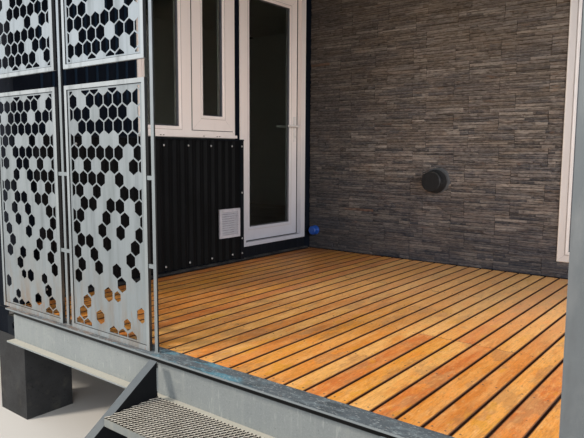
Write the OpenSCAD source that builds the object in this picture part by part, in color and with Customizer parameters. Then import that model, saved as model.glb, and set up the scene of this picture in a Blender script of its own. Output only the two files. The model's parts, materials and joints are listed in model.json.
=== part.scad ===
// Cabin made from two steel container modules set in an L around a timber deck.
// Millimetres. Site axes: X runs along the front beam, Y runs back, Z = 0 is the deck surface.
// The window wall stands on X = 0, and the outer edge of the front beam is on Y = 0.

/* [Modules] */
// Length of the back module along X
back_length = 6058; // [5000:1:7000]
// Depth of the back module along Y
back_depth = 2438; // [2200:1:2600]
// Height of a module over its castings
module_height = 2896; // [2591:1:2896]
// Width of the front module along X
front_width = 2996; // [2400:1:3200]
// Distance from the front beam edge to the stone face
porch_depth = 2893; // [2500:1:3300]
// Seam left between the two modules
module_gap = 6; // [3:1:12]
// Height of the module base below the deck
base_drop = 210; // [160:1:260]
// Ground below the deck surface
deck_level = 700; // [500:5:900]

/* [Module frame] */
// Corner casting length
casting_length = 178; // [170:1:185]
// Corner casting width
casting_width = 162; // [155:1:170]
// Corner casting height
casting_height = 118; // [110:1:125]
// Wall of a corner casting
casting_wall = 26; // [18:1:30]
// Length of the holes in the sides of a corner casting
casting_slot = 79; // [70:1:90]
// Width of the holes in the sides of a corner casting
casting_slot_width = 51; // [45:1:60]
// Length of the hole through the top and bottom of a corner casting
casting_eye = 124; // [110:1:128]
// Width of the hole through the top and bottom of a corner casting
casting_eye_width = 63; // [55:1:70]
// Side of a corner post
post_side = 90; // [70:1:120]
// Wall of a corner post
post_wall = 6; // [4:1:10]
// Side of a top rail tube
top_rail = 60; // [50:1:80]
// Wall of a top rail tube
top_rail_wall = 4; // [3:1:6]
// Height of a bottom rail channel
bottom_rail_height = 158; // [130:1:180]
// Flange width of a bottom rail channel
bottom_rail_width = 48; // [40:1:60]
// Metal of a bottom rail channel
bottom_rail_metal = 5; // [4:1:8]
// How far posts and rails sit inside the casting faces
frame_inset = 4; // [2:1:6]
// Spacing of the floor cross members
cross_spacing = 480; // [350:10:700]
// Height of a cross member
cross_height = 110; // [90:1:122]
// Width of a cross member
cross_width = 45; // [35:1:60]

/* [Corrugated walls] */
// Depth of the wall corrugation
wave_depth = 36; // [25:1:46]
// Pitch of the wall corrugation
wave_pitch = 278; // [200:1:320]
// Flat of each wall corrugation
wave_flat = 71; // [50:1:90]
// Pitch of the flutes in the wall beside the porch
flute_pitch = 75; // [60:1:100]
// Width of a flute at its bottom
flute_floor = 11; // [8:1:20]
// Width of each sloping side of a flute
flute_side = 8; // [6:1:12]
// Depth of a flute
flute_depth = 15; // [10:1:20]
// Thickness of the wall steel
skin = 2; // [1.6:0.1:3]
// How far the wall crests sit inside the casting faces
skin_inset = 8; // [5:1:14]
// Thickness of the insulated lining
lining = 50; // [30:1:80]
// Thickness of the built-up floor
floor_build = 160; // [120:1:180]
// Depth of the roof corrugation
roof_wave = 20; // [15:1:30]
// Pitch of the roof corrugation
roof_pitch = 209; // [180:1:240]
// Flat of each roof corrugation
roof_flat = 90; // [70:1:95]
// How far the roof sheets lie below the frame top
roof_set = 2; // [1:1:6]
// Thickness of the ceiling lining
ceiling = 50; // [30:1:80]

/* [Window] */
// Strip of wall between the window and the door
window_gap = 67; // [50:1:120]
// Width of a window
window_width = 929; // [800:1:1000]
// Sill level above the deck
window_sill = 992; // [990:1:1100]
// Head level of windows and door above the deck
head_level = 2308; // [2250:1:2400]
// Depth of the window and door frames
frame_depth = 70; // [60:1:80]
// Face width of a window frame
frame_face = 42; // [35:1:60]
// Start of the mullion from the left edge of the window
mullion_at = 364; // [320:1:420]
// Width of the mullion
mullion = 120; // [80:1:130]
// Face width of the opening sash
sash_face = 97; // [80:1:110]
// How far the sash stands proud of its frame
sash_proud = 8; // [4:1:12]
// How far the opening sash laps over its frame
sash_lap = 10; // [6:1:14]
// Play between the sash and the frame it closes in
sash_play = 2; // [1:0.5:4]
// Height of the sill nosing
sill_height = 22; // [15:1:30]
// How far the sill nosing stands out
sill_out = 26; // [15:1:40]
// Thickness of the sealed glass units
glass = 24; // [20:1:28]
// Depth of the glass behind the frame face
glass_set = 24; // [15:1:30]

/* [Door] */
// Left edge of the door frame on the window wall
door_y = 1962; // [1930:1:1980]
// Face width of the door frame
door_face = 62; // [50:1:75]
// Depth of the door frame
door_depth = 115; // [100:1:130]
// Depth of the stop in front of the leaf
door_stop = 45; // [35:1:50]
// Space for the seal between the stop and the leaf
seal_gap = 5; // [3:0.5:8]
// How far the stop laps over the leaf
door_lap = 14; // [8:1:20]
// Height of the threshold below the leaf
threshold = 32; // [25:1:45]
// Running gap on the hinge side, head and foot
leaf_gap = 6; // [5:0.5:8]
// Running gap on the lock side
lock_gap = 9; // [8:0.5:12]
// Thickness of the door leaf
leaf_depth = 62; // [55:1:66]
// Face width of the leaf stiles and rails
stile = 100; // [90:1:115]
// Radius of the hinge pins
pin_r = 6; // [5:0.5:8]
// Radial play of a hinge knuckle on its pin
pin_play = 0.1; // [0.02:0.01:0.3]
// Radius of a hinge knuckle
knuckle_r = 11; // [10:0.5:14]
// Length of one hinge knuckle
knuckle = 45; // [35:1:60]
// Distance of the outer hinges from the ends of the leaf
hinge_inset = 220; // [150:10:300]
// Thickness of a hinge plate
hinge_plate = 6; // [4:1:8]
// How far a hinge plate laps over the leaf
hinge_lap = 40; // [30:1:55]
// Height of the lever above the deck
lever_level = 1118; // [1050:1:1180]
// Length of the lever
lever_length = 130; // [110:1:150]
// Distance of the lever plate's middle from the lock edge of the leaf
lever_set = 46; // [35:1:60]

/* [Lower cladding] */
// Top of the lower cladding above the deck
clad_top = 972; // [940:1:985]
// Bottom of the lower cladding above the deck
clad_foot = 34; // [20:1:60]
// How far the lower cladding stands out of the wall plane
clad_out = 34; // [28:1:45]
// Pitch of the small corrugation
clad_pitch = 76; // [60:1:90]
// Depth of the small corrugation
clad_wave = 17; // [12:1:22]
// Share of the pitch that the flat of a small rib takes
clad_flat = 0.27; // [0.2:0.01:0.35]
// Gap between the cladding trims and the door frame
clad_gap = 2; // [1:0.5:6]
// How far the trims stand proud of the cladding ribs
trim_proud = 6; // [3:1:10]
// Height of the capping over the cladding
capping = 12; // [8:1:20]
// How far the drip flashing stands out past the trims
drip_out = 8; // [4:1:15]
// Gap between the drip flashing and the deck
drip_gap = 4; // [2:1:8]
// Height of the outer lip of the drip flashing
drip_lip = 8; // [4:1:12]
// Width of the trims round the lower cladding
trim_width = 40; // [30:1:60]
// Side of the vent grille
vent_side = 228; // [200:1:250]
// Left edge of the vent grille on the window wall
vent_y = 1680; // [1600:1:1700]
// Bottom of the vent grille above the deck
vent_foot = 212; // [150:1:300]
// Number of louvres in the vent grille
louvres = 10; // [6:1:14]

/* [Stone wall] */
// Thickness of the split stone and its backing
stone = 35; // [25:1:45]
// Width of the tall glazing on the stone wall
glazing_width = 750; // [600:1:900]
// Gap between the tall glazing and the corner post
glazing_gap = 6; // [3:1:12]
// Underside of the tall glazing above the deck
glazing_foot = 124; // [100:1:160]
// Face width of the tall glazing frame
glazing_face = 58; // [45:1:70]
// Centre of the flue cap along the stone wall
flue_x = 1262; // [1100:1:1400]
// Height of the flue cap above the deck
flue_z = 660; // [500:1:800]
// Radius of the flue cap disc
flue_r = 80; // [70:1:90]
// Radius of the flue pipe in the wall
flue_pipe = 50; // [40:1:60]
// Radius of the wall ring of the flue
flue_ring = 94; // [85:1:110]
// Radius of the flue neck in front of the wall
flue_neck = 56; // [50:1:65]
// How far the flue cap stands out
flue_out = 95; // [70:1:120]
// Radius of the wall inlet cover
inlet_r = 42; // [35:1:50]
// Height of the wall inlet cover above the deck
inlet_z = 170; // [120:1:220]
// Pitch of the blind slats
slat_pitch = 28; // [24:1:40]
// Depth of a blind slat
slat_depth = 25; // [20:1:35]
// Tilt of the blind slats in degrees
slat_tilt = 28; // [0:1:60]

/* [Deck] */
// Height of an I-beam
beam_height = 200; // [180:1:220]
// Flange width of an I-beam
beam_width = 100; // [90:1:110]
// Web of an I-beam
beam_web = 5.6; // [5:0.1:8]
// Flange thickness of an I-beam
beam_flange = 8.5; // [7:0.1:11]
// Thickness of the web stiffeners
stiffener = 8; // [6:1:10]
// Thickness of the deck boards
board = 28; // [24:1:35]
// Height of a deck joist
joist_height = 120; // [100:1:150]
// Width of a deck joist
joist_width = 50; // [45:1:75]
// Spacing of the deck joists
joist_spacing = 460; // [350:10:600]
// Wall of a joist or purlin tube
joist_wall = 4; // [2:0.5:6]
// Gap between the end joists and what stands beside them
joist_gap = 2; // [1:1:10]
// Height of a porch roof purlin
purlin_height = 70; // [50:1:100]
// Side of the porch post
porch_post = 100; // [90:1:110]
// Wall of the porch post
porch_post_wall = 6; // [4:1:8]
// Side of the pier blocks
pier = 300; // [250:10:400]

/* [Screens] */
// How far the left panels reach past the ends of the beams
panel_left = 72; // [0:1:90]
// Width of a screen panel
panel_width = 612; // [600:1:640]
// Height of a screen panel
panel_height = 1200; // [1180:1:1200]
// Gap between the lower and upper panels
panel_gap = 80; // [70:1:100]
// Gap between a panel and the bar beside it
bar_gap = 32; // [25:1:40]
// Width of a screen bar
bar_width = 20; // [16:1:30]
// Depth of a screen bar
bar_depth = 8; // [6:1:15]
// Distance of the panel faces behind the beam edge
panel_set = 30; // [20:1:40]
// Width of the raised rim of a panel
rim_width = 20; // [15:1:25]
// Depth of the raised rim of a panel
rim_depth = 16; // [12:1:20]
// How far the sheet sits behind the rim face
sheet_set = 5; // [3:0.5:8]
// Thickness of the laser-cut sheet
sheet = 2; // [1.5:0.5:4]
// Side margin between the panel edge and the cut field
field_side = 38; // [30:1:50]
// Top and bottom margin between the panel edge and the cut field
field_end = 30; // [25:1:45]
// Pitch of the hexagons along a row
hex_pitch = 70; // [60:1:80]
// Width of the metal between two hexagons
hex_web = 6.5; // [4:0.5:12]
// Height of the small tabs that hold the panels
tab_height = 18; // [12:1:24]
// Foot of the lower tabs above the panel's foot
tab_low = 376; // [340:1:400]
// Foot of the upper tabs above the panel's foot
tab_high = 763; // [740:1:800]

/* [Stair] */
// Width of the stair over its stringers
stair_width = 1200; // [900:10:1400]
// Left edge of the stair on the front beam
stair_x = 1275; // [1200:1:1500]
// Height of one rise
rise = 175; // [160:1:190]
// Depth of one going
going = 250; // [220:1:280]
// Number of treads
treads = 3; // [2:1:4]
// Depth of a tread from front to back
tread_depth = 272; // [250:1:300]
// Height of the tread frame
tread_height = 40; // [30:1:50]
// Metal of the tread frame
tread_metal = 5; // [4:1:8]
// Depth of the tread plate under the frame top
tread_plate_set = 6; // [3:1:12]
// Thickness of the tread plate
tread_plate = 4; // [3:1:6]
// Height of a stringer channel
stringer_height = 140; // [120:1:180]
// Flange width of a stringer channel
stringer_width = 47; // [40:1:60]
// Metal of a stringer channel
stringer_metal = 7; // [5:1:9]
// How far the stringer top lies below the deck at the beam
stringer_drop = 20; // [10:1:40]

/* [Hidden] */
$fn = 48;
over = 1;
mil = 0.3;

// Bounds of the two modules
base = -base_drop;
top = base + module_height;
left = -front_width;
right = left + back_length;
back_y0 = porch_depth + stone;
back_y1 = back_y0 + back_depth;
front_y0 = beam_width;
front_y1 = back_y0 - module_gap;
front_box = [left, 0, front_y0, front_y1];
back_box = [left, right, back_y0, back_y1];
stair_front = -(deck_level - stringer_drop) * going / rise;
mid_x = (left + right) / 2;
mid_y = (stair_front + back_y1 + sill_out) / 2;

// Levels inside a module
post_foot = base + casting_height;
post_head = top - casting_height;
rail_top = base + bottom_rail_height;
floor_top = rail_top + floor_build;
skin_head = top - top_rail;
post_in = frame_inset + post_side;
skin_in = skin_inset + wave_depth;
lining_in = skin_in + lining;
lining_end = post_in + 2;
ceiling_foot = skin_head - ceiling;

// Depth of the cuts for windows and door, past the lining on both sides
wall_cut = 2 * lining_in;

// Window and tall glazing
window_y = door_y - window_gap - window_width;
front_window_x = (left - window_width) / 2;
back_window_x = mid_x - window_width / 2;
glazing_right = right - post_in - glazing_gap;
glazing_x = glazing_right - glazing_width;

// Door
door_foot = floor_top;
door_right = front_y1 - post_in;
jamb_in = door_face - door_lap;
leaf_y0 = door_y + jamb_in + leaf_gap;
leaf_y1 = door_right - jamb_in - lock_gap;
leaf_z0 = door_foot + threshold + leaf_gap;
leaf_z1 = head_level - jamb_in - leaf_gap;
leaf_x1 = -door_stop - seal_gap;
leaf_x0 = leaf_x1 - leaf_depth;
pin_x = -door_depth - knuckle_r - mil;
pin_y = door_y + jamb_in;
hinge_levels = [leaf_z0 + hinge_inset, (leaf_z0 + leaf_z1) / 2, leaf_z1 - hinge_inset];

// Screens
bar_pitch = panel_width + 2 * bar_gap + bar_width;
left_panel_x = -panel_left;
first_bar_x = left_panel_x + panel_width + bar_gap;
right_panel_x = left_panel_x + bar_pitch;
upper_z = panel_height + panel_gap;
porch_beam_foot = top - beam_height;
bar_set = panel_set + (rim_depth - bar_depth) / 2;
hex_row = hex_pitch * sqrt(3) / 2;
hex_flat = hex_pitch - hex_web;
tab_levels = [tab_low, tab_high];

// Open cells of each hexagon row, counted from the top left; the other cells stay blank
open_cells = [
    [0, 2, 3, 5, 8],
    [0, 2, 3, 4, 5, 6, 7],
    [0, 1, 2, 4, 5, 6, 8],
    [1, 2, 3, 4, 5, 6, 7],
    [0, 1, 3, 6, 7, 8],
    [0, 1, 2, 3, 4, 5, 7],
    [0, 2, 4, 5, 7, 8],
    [0, 1, 2, 3, 5],
    [0, 1, 3, 6, 7, 8],
    [1, 2, 4, 5, 7],
    [0, 1, 4, 6, 8],
    [0, 3, 5, 7],
    [1, 2, 4, 7],
    [0, 2, 6],
    [1, 3, 5, 7],
    [0, 5],
    [4],
    [1, 7],
    [1, 3],
    [0, 1, 4, 5, 6]];
// Small hexagons as row, cell and share of the full width
small_cells = [[16, 2, 0.86], [16, 5, 0.74], [18, 6, 0.78]];

// Helpers
module place() translate([-mid_x, -mid_y, deck_level]) children();

module slab(x0, x1, y0, y1, z0, z1)
    translate([x0, y0, z0]) cube([x1 - x0, y1 - y0, z1 - z0]);

// Frame with a rectangular hole, drawn in XZ with its face on Y = 0 and its depth towards +Y
module ring(w, h, depth, sides, foot, head)
    difference() {
        cube([w, depth, h]);
        translate([sides, -over, foot]) cube([w - 2 * sides, depth + 2 * over, h - foot - head]);
    }

// Square tube along Z
module tube(side, wall, length)
    difference() {
        cube([side, side, length]);
        translate([wall, wall, -over]) cube([side - 2 * wall, side - 2 * wall, length + 2 * over]);
    }

// Trapezoid wave from 0 to length, with flat ends and crests on Y = 0
function wave_path(length, pitch, flat, depth) =
    let (n = floor((length - flat) / pitch), edge = (length - n * pitch) / 2, slope = (pitch - 2 * flat) / 2)
    concat([[0, 0]],
        [for (k = [0:n - 1], p = [[flat / 2, 0], [flat / 2 + slope, -depth],
            [flat / 2 + slope + flat, -depth], [pitch - flat / 2, 0]])
            [edge + k * pitch + p[0], p[1]]],
        [[length, 0]]);

// Flat face from 0 to length on Y = 0 with flutes pressed into it
function flute_path(length, pitch, bottom, side, depth) =
    let (n = floor((length - pitch) / pitch), edge = (length - n * pitch) / 2, mouth = bottom + 2 * side)
    concat([[0, 0]],
        [for (k = [0:n - 1], p = [[0, 0], [side, -depth], [side + bottom, -depth], [mouth, 0]])
            [edge + (k + 0.5) * pitch - mouth / 2 + p[0], p[1]]],
        [[length, 0]]);

function lowered(path, t) = [for (i = [len(path) - 1:-1:0]) [path[i][0], path[i][1] - t]];

// Corrugated sheet standing along X, crests on Y = 0 and troughs towards -Y
module wave_sheet(length, height, pitch, flat, depth, t)
    let (path = wave_path(length, pitch, flat, depth - t))
    linear_extrude(height) polygon(concat(path, lowered(path, t)));

// Small corrugation with a flat back, crests on Y = 0
module ribbed_board(length, height, pitch, depth, thick)
    let (path = wave_path(length, pitch, clad_flat * pitch, depth))
    linear_extrude(height) polygon(concat(path, [[length, -thick], [0, -thick]]));

// I-beam along X from 0 to length, underside on Z = 0 and left edge on Y = 0
module i_beam(length)
    let (w = beam_width, h = beam_height, f = beam_flange, t = beam_web)
    rotate([90, 0, 90]) linear_extrude(length)
        polygon([[0, 0], [w, 0], [w, f], [(w + t) / 2, f], [(w + t) / 2, h - f], [w, h - f],
            [w, h], [0, h], [0, h - f], [(w - t) / 2, h - f], [(w - t) / 2, f], [0, f]]);

// Channel profile with its web on X = 0 and its flanges towards +X
module channel_profile(h, w, t)
    polygon([[0, 0], [w, 0], [w, t], [t, t], [t, h - t], [w, h - t], [w, h], [0, h]]);

// Stands what is drawn along X with its face on Y = 0 on a wall whose outside faces -Y, +X, +Y or -X
module facing_front(x, y, z = 0) translate([x, y, z]) mirror([0, 1, 0]) children();
module facing_right(x, y, z = 0) translate([x, y, z]) mirror([1, -1, 0]) children();
module facing_back(x, y, z = 0) translate([x, y, z]) children();
module facing_left(x, y, z = 0) translate([x, y, z]) rotate([0, 0, 90]) children();

// Module frame
module at_corners(box, len_x, len_y)
    for (x = [box[0], box[1] - len_x], y = [box[2], box[3] - len_y])
        translate([x, y, 0]) children();

// Oval hole through a casting wall, its long side along X
module oval(long, short, depth)
    linear_extrude(depth) union() {
        square([long - short, short], center = true);
        for (s = [-1, 1]) translate([s * (long - short) / 2, 0]) circle(d = short);
    }

module casting()
    difference() {
        cube([casting_length, casting_width, casting_height]);
        translate([casting_wall, casting_wall, casting_wall])
            cube([casting_length - 2 * casting_wall, casting_width - 2 * casting_wall,
                casting_height - 2 * casting_wall]);
        // side ovals, front ovals and the twistlock ovals above and below
        for (y = [-over, casting_width - casting_wall - over])
            translate([casting_length / 2, y, casting_height / 2]) rotate([-90, 0, 0])
                oval(casting_slot, casting_slot_width, casting_wall + 2 * over);
        for (x = [-over, casting_length - casting_wall - over])
            translate([x, casting_width / 2, casting_height / 2]) rotate([90, 0, 90])
                oval(casting_slot, casting_slot_width, casting_wall + 2 * over);
        translate([casting_length / 2, casting_width / 2, -over])
            oval(casting_eye, casting_eye_width, casting_height + 2 * over);
    }

module corner_castings() color("#2a3642") place()
    for (box = [front_box, back_box], z = [base, top - casting_height])
        translate([0, 0, z]) at_corners(box, casting_length, casting_width) casting();

// Solid blocks where the top castings are, taken out of sheets and linings
module top_casting_blocks()
    for (box = [front_box, back_box])
        translate([0, 0, post_head]) at_corners(box, casting_length, casting_width)
            cube([casting_length, casting_width, casting_height + over]);

module corner_posts() color("#232e3b") place()
    for (box = [front_box, back_box])
        translate([0, 0, post_foot])
            at_corners([box[0] + frame_inset, box[1] - frame_inset, box[2] + frame_inset, box[3] - frame_inset],
                post_side, post_side) tube(post_side, post_wall, post_head - post_foot);

module bottom_rails() color("#232e3b") place()
    for (box = [front_box, back_box]) {
        for (side = [0, 1]) {
            // long rails along X
            translate([box[0] + casting_length, side == 0 ? box[2] + frame_inset : box[3] - frame_inset, base])
                mirror([0, side, 0]) rotate([90, 0, 90])
                    linear_extrude(box[1] - box[0] - 2 * casting_length)
                        channel_profile(bottom_rail_height, bottom_rail_width, bottom_rail_metal);
            // end rails along Y
            translate([side == 0 ? box[0] + frame_inset : box[1] - frame_inset, box[3] - casting_width, base])
                mirror([side, 0, 0]) rotate([90, 0, 0])
                    linear_extrude(box[3] - box[2] - 2 * casting_width)
                        channel_profile(bottom_rail_height, bottom_rail_width, bottom_rail_metal);
        }
    }

module top_rails() color("#232e3b") place()
    for (box = [front_box, back_box]) {
        for (y = [box[2] + frame_inset, box[3] - frame_inset - top_rail])
            translate([box[0] + casting_length, y, skin_head]) rotate([90, 0, 90])
                tube(top_rail, top_rail_wall, box[1] - box[0] - 2 * casting_length);
        for (x = [box[0] + frame_inset, box[1] - frame_inset - top_rail])
            translate([x, box[3] - casting_width, skin_head]) rotate([90, 0, 0])
                tube(top_rail, top_rail_wall, box[3] - box[2] - 2 * casting_width);
    }

// Cross members hang between the bottom flanges of the long rails, under the floor
module cross_members() color("#20262c") place()
    for (box = [front_box, back_box])
        let (clear = box[1] - box[0] - 2 * casting_length, n = floor(clear / cross_spacing),
            start = box[0] + casting_length + (clear - (n - 1) * cross_spacing - cross_width) / 2,
            in = frame_inset + bottom_rail_metal)
        for (k = [0:n - 1])
            translate([start + k * cross_spacing, box[3] - in,
                    rail_top - bottom_rail_metal - cross_height])
                rotate([90, 0, 0]) linear_extrude(box[3] - box[2] - 2 * in)
                    channel_profile(cross_height, cross_width, bottom_rail_metal);

module floor_plan(box)
    difference() {
        slab(box[0] + skin_in, box[1] - skin_in, box[2] + skin_in, box[3] - skin_in, rail_top, floor_top);
        at_corners(box, post_in, post_in) translate([0, 0, rail_top - over])
            cube([post_in, post_in, floor_build + 2 * over]);
    }

module floors() color("#8a8378") place() {
    floor_plan(front_box);
    floor_plan(back_box);
}

module roof_sheet(x0, x1, y0, y1)
    translate([x0, y0, top - frame_inset - roof_set]) mirror([0, 0, 1]) mirror([0, 1, 0]) rotate([90, 0, 0])
        linear_extrude(y1 - y0)
            let (path = wave_path(x1 - x0, roof_pitch, roof_flat, roof_wave - skin))
            polygon([for (p = concat(path, lowered(path, skin))) [p[0], -p[1]]]);

module roof_panels() color("#232e3b") place()
    difference() {
        for (box = [front_box, back_box])
            let (in = frame_inset + top_rail)
            roof_sheet(box[0] + in, box[1] - in, box[2] + in, box[3] - in);
        top_casting_blocks();
    }

// Walls
module wall_sheet(length, z0, z1)
    translate([0, -skin_inset, z0])
        wave_sheet(length, z1 - z0, wave_pitch, wave_flat, wave_depth, skin);

// The whole fluted sheet of the window wall, which is then parted at the door
module porch_side_sheet()
    difference() {
        facing_right(0, front_y0 + post_in)
            translate([0, -skin_inset, rail_top]) linear_extrude(skin_head - rail_top)
                let (path = flute_path(front_y1 - front_y0 - 2 * post_in, flute_pitch, flute_floor,
                    flute_side, flute_depth - skin))
                polygon(concat(path, lowered(path, skin)));
        slab(-wall_cut, over, window_y, window_y + window_width, window_sill, head_level);
        slab(-wall_cut, over, door_y, front_y1, door_foot, head_level);
        top_casting_blocks();
    }

module window_wall() color("#1c2430") place()
    intersection() {
        porch_side_sheet();
        slab(-wall_cut, 0, 0, door_y, base, top);
    }

module door_surround_wall() color("#1c2430") place()
    intersection() {
        porch_side_sheet();
        slab(-wall_cut, 0, door_y, front_y1, base, top);
    }

module front_wall() color("#1c2430") place()
    difference() {
        facing_front(left + post_in, front_y0)
            wall_sheet(front_width - 2 * post_in, rail_top, skin_head);
        slab(front_window_x, front_window_x + window_width, front_y0 - over, front_y0 + wall_cut,
            window_sill, head_level);
        top_casting_blocks();
    }

module left_walls() color("#1c2430") place()
    difference() {
        for (box = [front_box, back_box])
            facing_left(left, box[2] + post_in)
                wall_sheet(box[3] - box[2] - 2 * post_in, rail_top, skin_head);
        top_casting_blocks();
    }

module back_wall() color("#1c2430") place()
    difference() {
        facing_back(left + post_in, back_y1)
            wall_sheet(back_length - 2 * post_in, rail_top, skin_head);
        slab(back_window_x, back_window_x + window_width, back_y1 - wall_cut, back_y1 + over,
            window_sill, head_level);
        top_casting_blocks();
    }

module right_end_wall() color("#1c2430") place()
    difference() {
        facing_right(right, back_y0 + post_in)
            wall_sheet(back_depth - 2 * post_in, rail_top, skin_head);
        top_casting_blocks();
    }

// Wall of the back module behind the stone, with the hole for the tall glazing
module glazing_hole()
    slab(glazing_x, glazing_right, porch_depth - over, back_y0 + wall_cut, glazing_foot, head_level);

module porch_wall() color("#1c2430") place()
    difference() {
        facing_front(-post_in, back_y0)
            wall_sheet(right, rail_top, skin_head);
        glazing_hole();
        top_casting_blocks();
    }

module stone_cladding() color("#57504a") place()
    difference() {
        slab(mil, right - frame_inset, porch_depth, back_y0, 0, porch_beam_foot);
        glazing_hole();
        translate([flue_x, porch_depth - over, flue_z]) rotate([-90, 0, 0])
            cylinder(r = flue_pipe + mil, h = stone + 2 * over);
    }

module inner_linings() color("#d9d6cf") place()
    difference() {
        union() {
            // front module: window wall, front wall and left wall
            slab(-lining_in, -skin_in, front_y0 + lining_end, front_y1 - lining_end, floor_top, ceiling_foot);
            slab(left + lining_end, -lining_end, front_y0 + skin_in, front_y0 + lining_in,
                floor_top, ceiling_foot);
            slab(left + skin_in, left + lining_in, front_y0 + lining_end, front_y1 - lining_end,
                floor_top, ceiling_foot);
            // back module: porch side, back wall and both ends
            slab(-post_in, right - lining_end, back_y0 + skin_in, back_y0 + lining_in, floor_top, ceiling_foot);
            slab(left + lining_end, right - lining_end, back_y1 - lining_in, back_y1 - skin_in,
                floor_top, ceiling_foot);
            for (x = [left + skin_in, right - lining_in])
                slab(x, x + lining, back_y0 + lining_end, back_y1 - lining_end, floor_top, ceiling_foot);
            // ceilings
            for (box = [front_box, back_box])
                slab(box[0] + skin_in, box[1] - skin_in, box[2] + skin_in, box[3] - skin_in,
                    ceiling_foot, skin_head);
        }
        slab(-wall_cut, over, window_y, window_y + window_width, window_sill, head_level);
        slab(-wall_cut, over, door_y, door_right, floor_top - over, head_level);
        slab(front_window_x, front_window_x + window_width, front_y0, front_y0 + wall_cut,
            window_sill, head_level);
        slab(back_window_x, back_window_x + window_width, back_y1 - wall_cut, back_y1,
            window_sill, head_level);
        glazing_hole();
        for (box = [front_box, back_box])
            at_corners(box, post_in, post_in) translate([0, 0, base]) cube([post_in, post_in, module_height]);
        top_casting_blocks();
    }

// Windows
// Drawn along X with its outside face on Y = 0 and its depth towards -Y, so it suits facing_front and the rest
sash_x = mullion_at + mullion;
sash_open = window_width - frame_face - sash_x;
light_height = head_level - window_sill - sill_height - 2 * frame_face;
light_foot = sill_height + frame_face;
module window_frame()
    difference() {
        union() {
            translate([0, -frame_depth, 0]) cube([window_width, frame_depth, head_level - window_sill]);
            cube([window_width, sill_out, sill_height]);
        }
        for (bay = [[frame_face, mullion_at - frame_face], [sash_x, sash_open]])
            translate([bay[0], -frame_depth - over, light_foot])
                cube([bay[1], frame_depth + 2 * over, light_height]);
    }

// The outer part of the sash laps over the frame, the inner part closes in it with some play
module window_sash()
    difference() {
        union() {
            translate([sash_x - sash_lap, 0, light_foot - sash_lap])
                cube([sash_open + 2 * sash_lap, sash_proud, light_height + 2 * sash_lap]);
            translate([sash_x + sash_play, -frame_depth + sash_play, light_foot + sash_play])
                cube([sash_open - 2 * sash_play, frame_depth - sash_play, light_height - 2 * sash_play]);
        }
        sash_light(-frame_depth - over, sash_proud + over);
    }

// The space inside the sash, from one depth to another
module sash_light(y0, y1)
    let (inset = sash_face - sash_lap)
    translate([sash_x + inset, y0, light_foot + inset])
        cube([sash_open - 2 * inset, y1 - y0, light_height - 2 * inset]);

module window_panes() {
    translate([frame_face, -glass_set - glass, light_foot])
        cube([mullion_at - frame_face, glass, light_height]);
    sash_light(-glass_set - glass, -glass_set);
}

module at_windows() {
    facing_right(0, window_y, window_sill) children();
    facing_front(front_window_x, front_y0, window_sill) children();
    facing_back(back_window_x, back_y1, window_sill) children();
}

module window_frames() color("#ece8e4") place() at_windows() window_frame();
module window_sashes() color("#f2efec") place() at_windows() window_sash();
module window_glass() color("#9fb4bc", 0.35) place() at_windows() window_panes();

// Door
// The stop in front laps over the leaf, and the deeper part behind it makes the rebate
module door_jambs() color("#ece8e4") place() {
    for (side = [0, 1]) translate([0, side == 0 ? door_y : door_right, door_foot]) mirror([0, side, 0]) {
        slab(-door_stop, 0, 0, door_face, 0, head_level - door_foot);
        slab(-door_depth, -door_stop, 0, jamb_in, 0, head_level - door_foot);
    }
    for (z = hinge_levels) translate([pin_x, pin_y, z]) {
        // fixed half of each hinge: lower knuckle, its plate and the pin
        translate([0, 0, -knuckle]) cylinder(r = knuckle_r, h = knuckle);
        cylinder(r = pin_r, h = knuckle);
        slab(0, knuckle_r + mil + over, -knuckle_r, 0, -knuckle, 0);
    }
}

module door_head_and_threshold() color("#ece8e4") place() {
    slab(-door_stop, 0, door_y + door_face, door_right - door_face, head_level - door_face, head_level);
    slab(-door_depth, -door_stop, door_y + jamb_in, door_right - jamb_in, head_level - jamb_in, head_level);
    slab(-door_depth, 0, door_y + door_face, door_right - door_face, door_foot, door_foot + threshold);
}

module door_leaf() color("#f2efec") place() {
    difference() {
        slab(leaf_x0, leaf_x1, leaf_y0, leaf_y1, leaf_z0, leaf_z1);
        slab(leaf_x0 - over, leaf_x1 + over, leaf_y0 + stile, leaf_y1 - stile, leaf_z0 + stile, leaf_z1 - stile);
    }
    for (z = hinge_levels) translate([pin_x, pin_y, z + mil]) difference() {
        union() {
            cylinder(r = knuckle_r, h = knuckle);
            slab(0, leaf_x0 - pin_x, leaf_gap / 2, knuckle_r, 0, knuckle);
            slab(leaf_x0 - pin_x - hinge_plate, leaf_x0 - pin_x, leaf_gap / 2, leaf_gap + hinge_lap,
                0, knuckle);
        }
        translate([0, 0, -over]) cylinder(r = pin_r + pin_play, h = knuckle + 2 * over);
    }
}

module door_glass() color("#9fb4bc", 0.35) place()
    slab(leaf_x1 - glass_set - glass, leaf_x1 - glass_set, leaf_y0 + stile, leaf_y1 - stile,
        leaf_z0 + stile, leaf_z1 - stile);

// Lever handle with its long plate and the cylinder of the lock under it
module handle()
    let (plate_width = 30, plate_height = 225, plate_thick = 8, plate_below = 140,
        neck_out = 42, neck_r = 11, lever_r = 9, lock_below = 90, lock_r = 8.5, lock_out = 5) {
        translate([0, -plate_width / 2, -plate_below]) cube([plate_thick, plate_width, plate_height]);
        rotate([0, 90, 0]) cylinder(r = neck_r, h = neck_out + lever_r);
        translate([neck_out, 0, 0]) rotate([90, 0, 0]) cylinder(r = lever_r, h = lever_length);
        translate([neck_out, -lever_length, 0]) sphere(r = lever_r);
        translate([plate_thick, 0, -lock_below]) rotate([0, 90, 0]) cylinder(r = lock_r, h = lock_out);
    }

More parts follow.
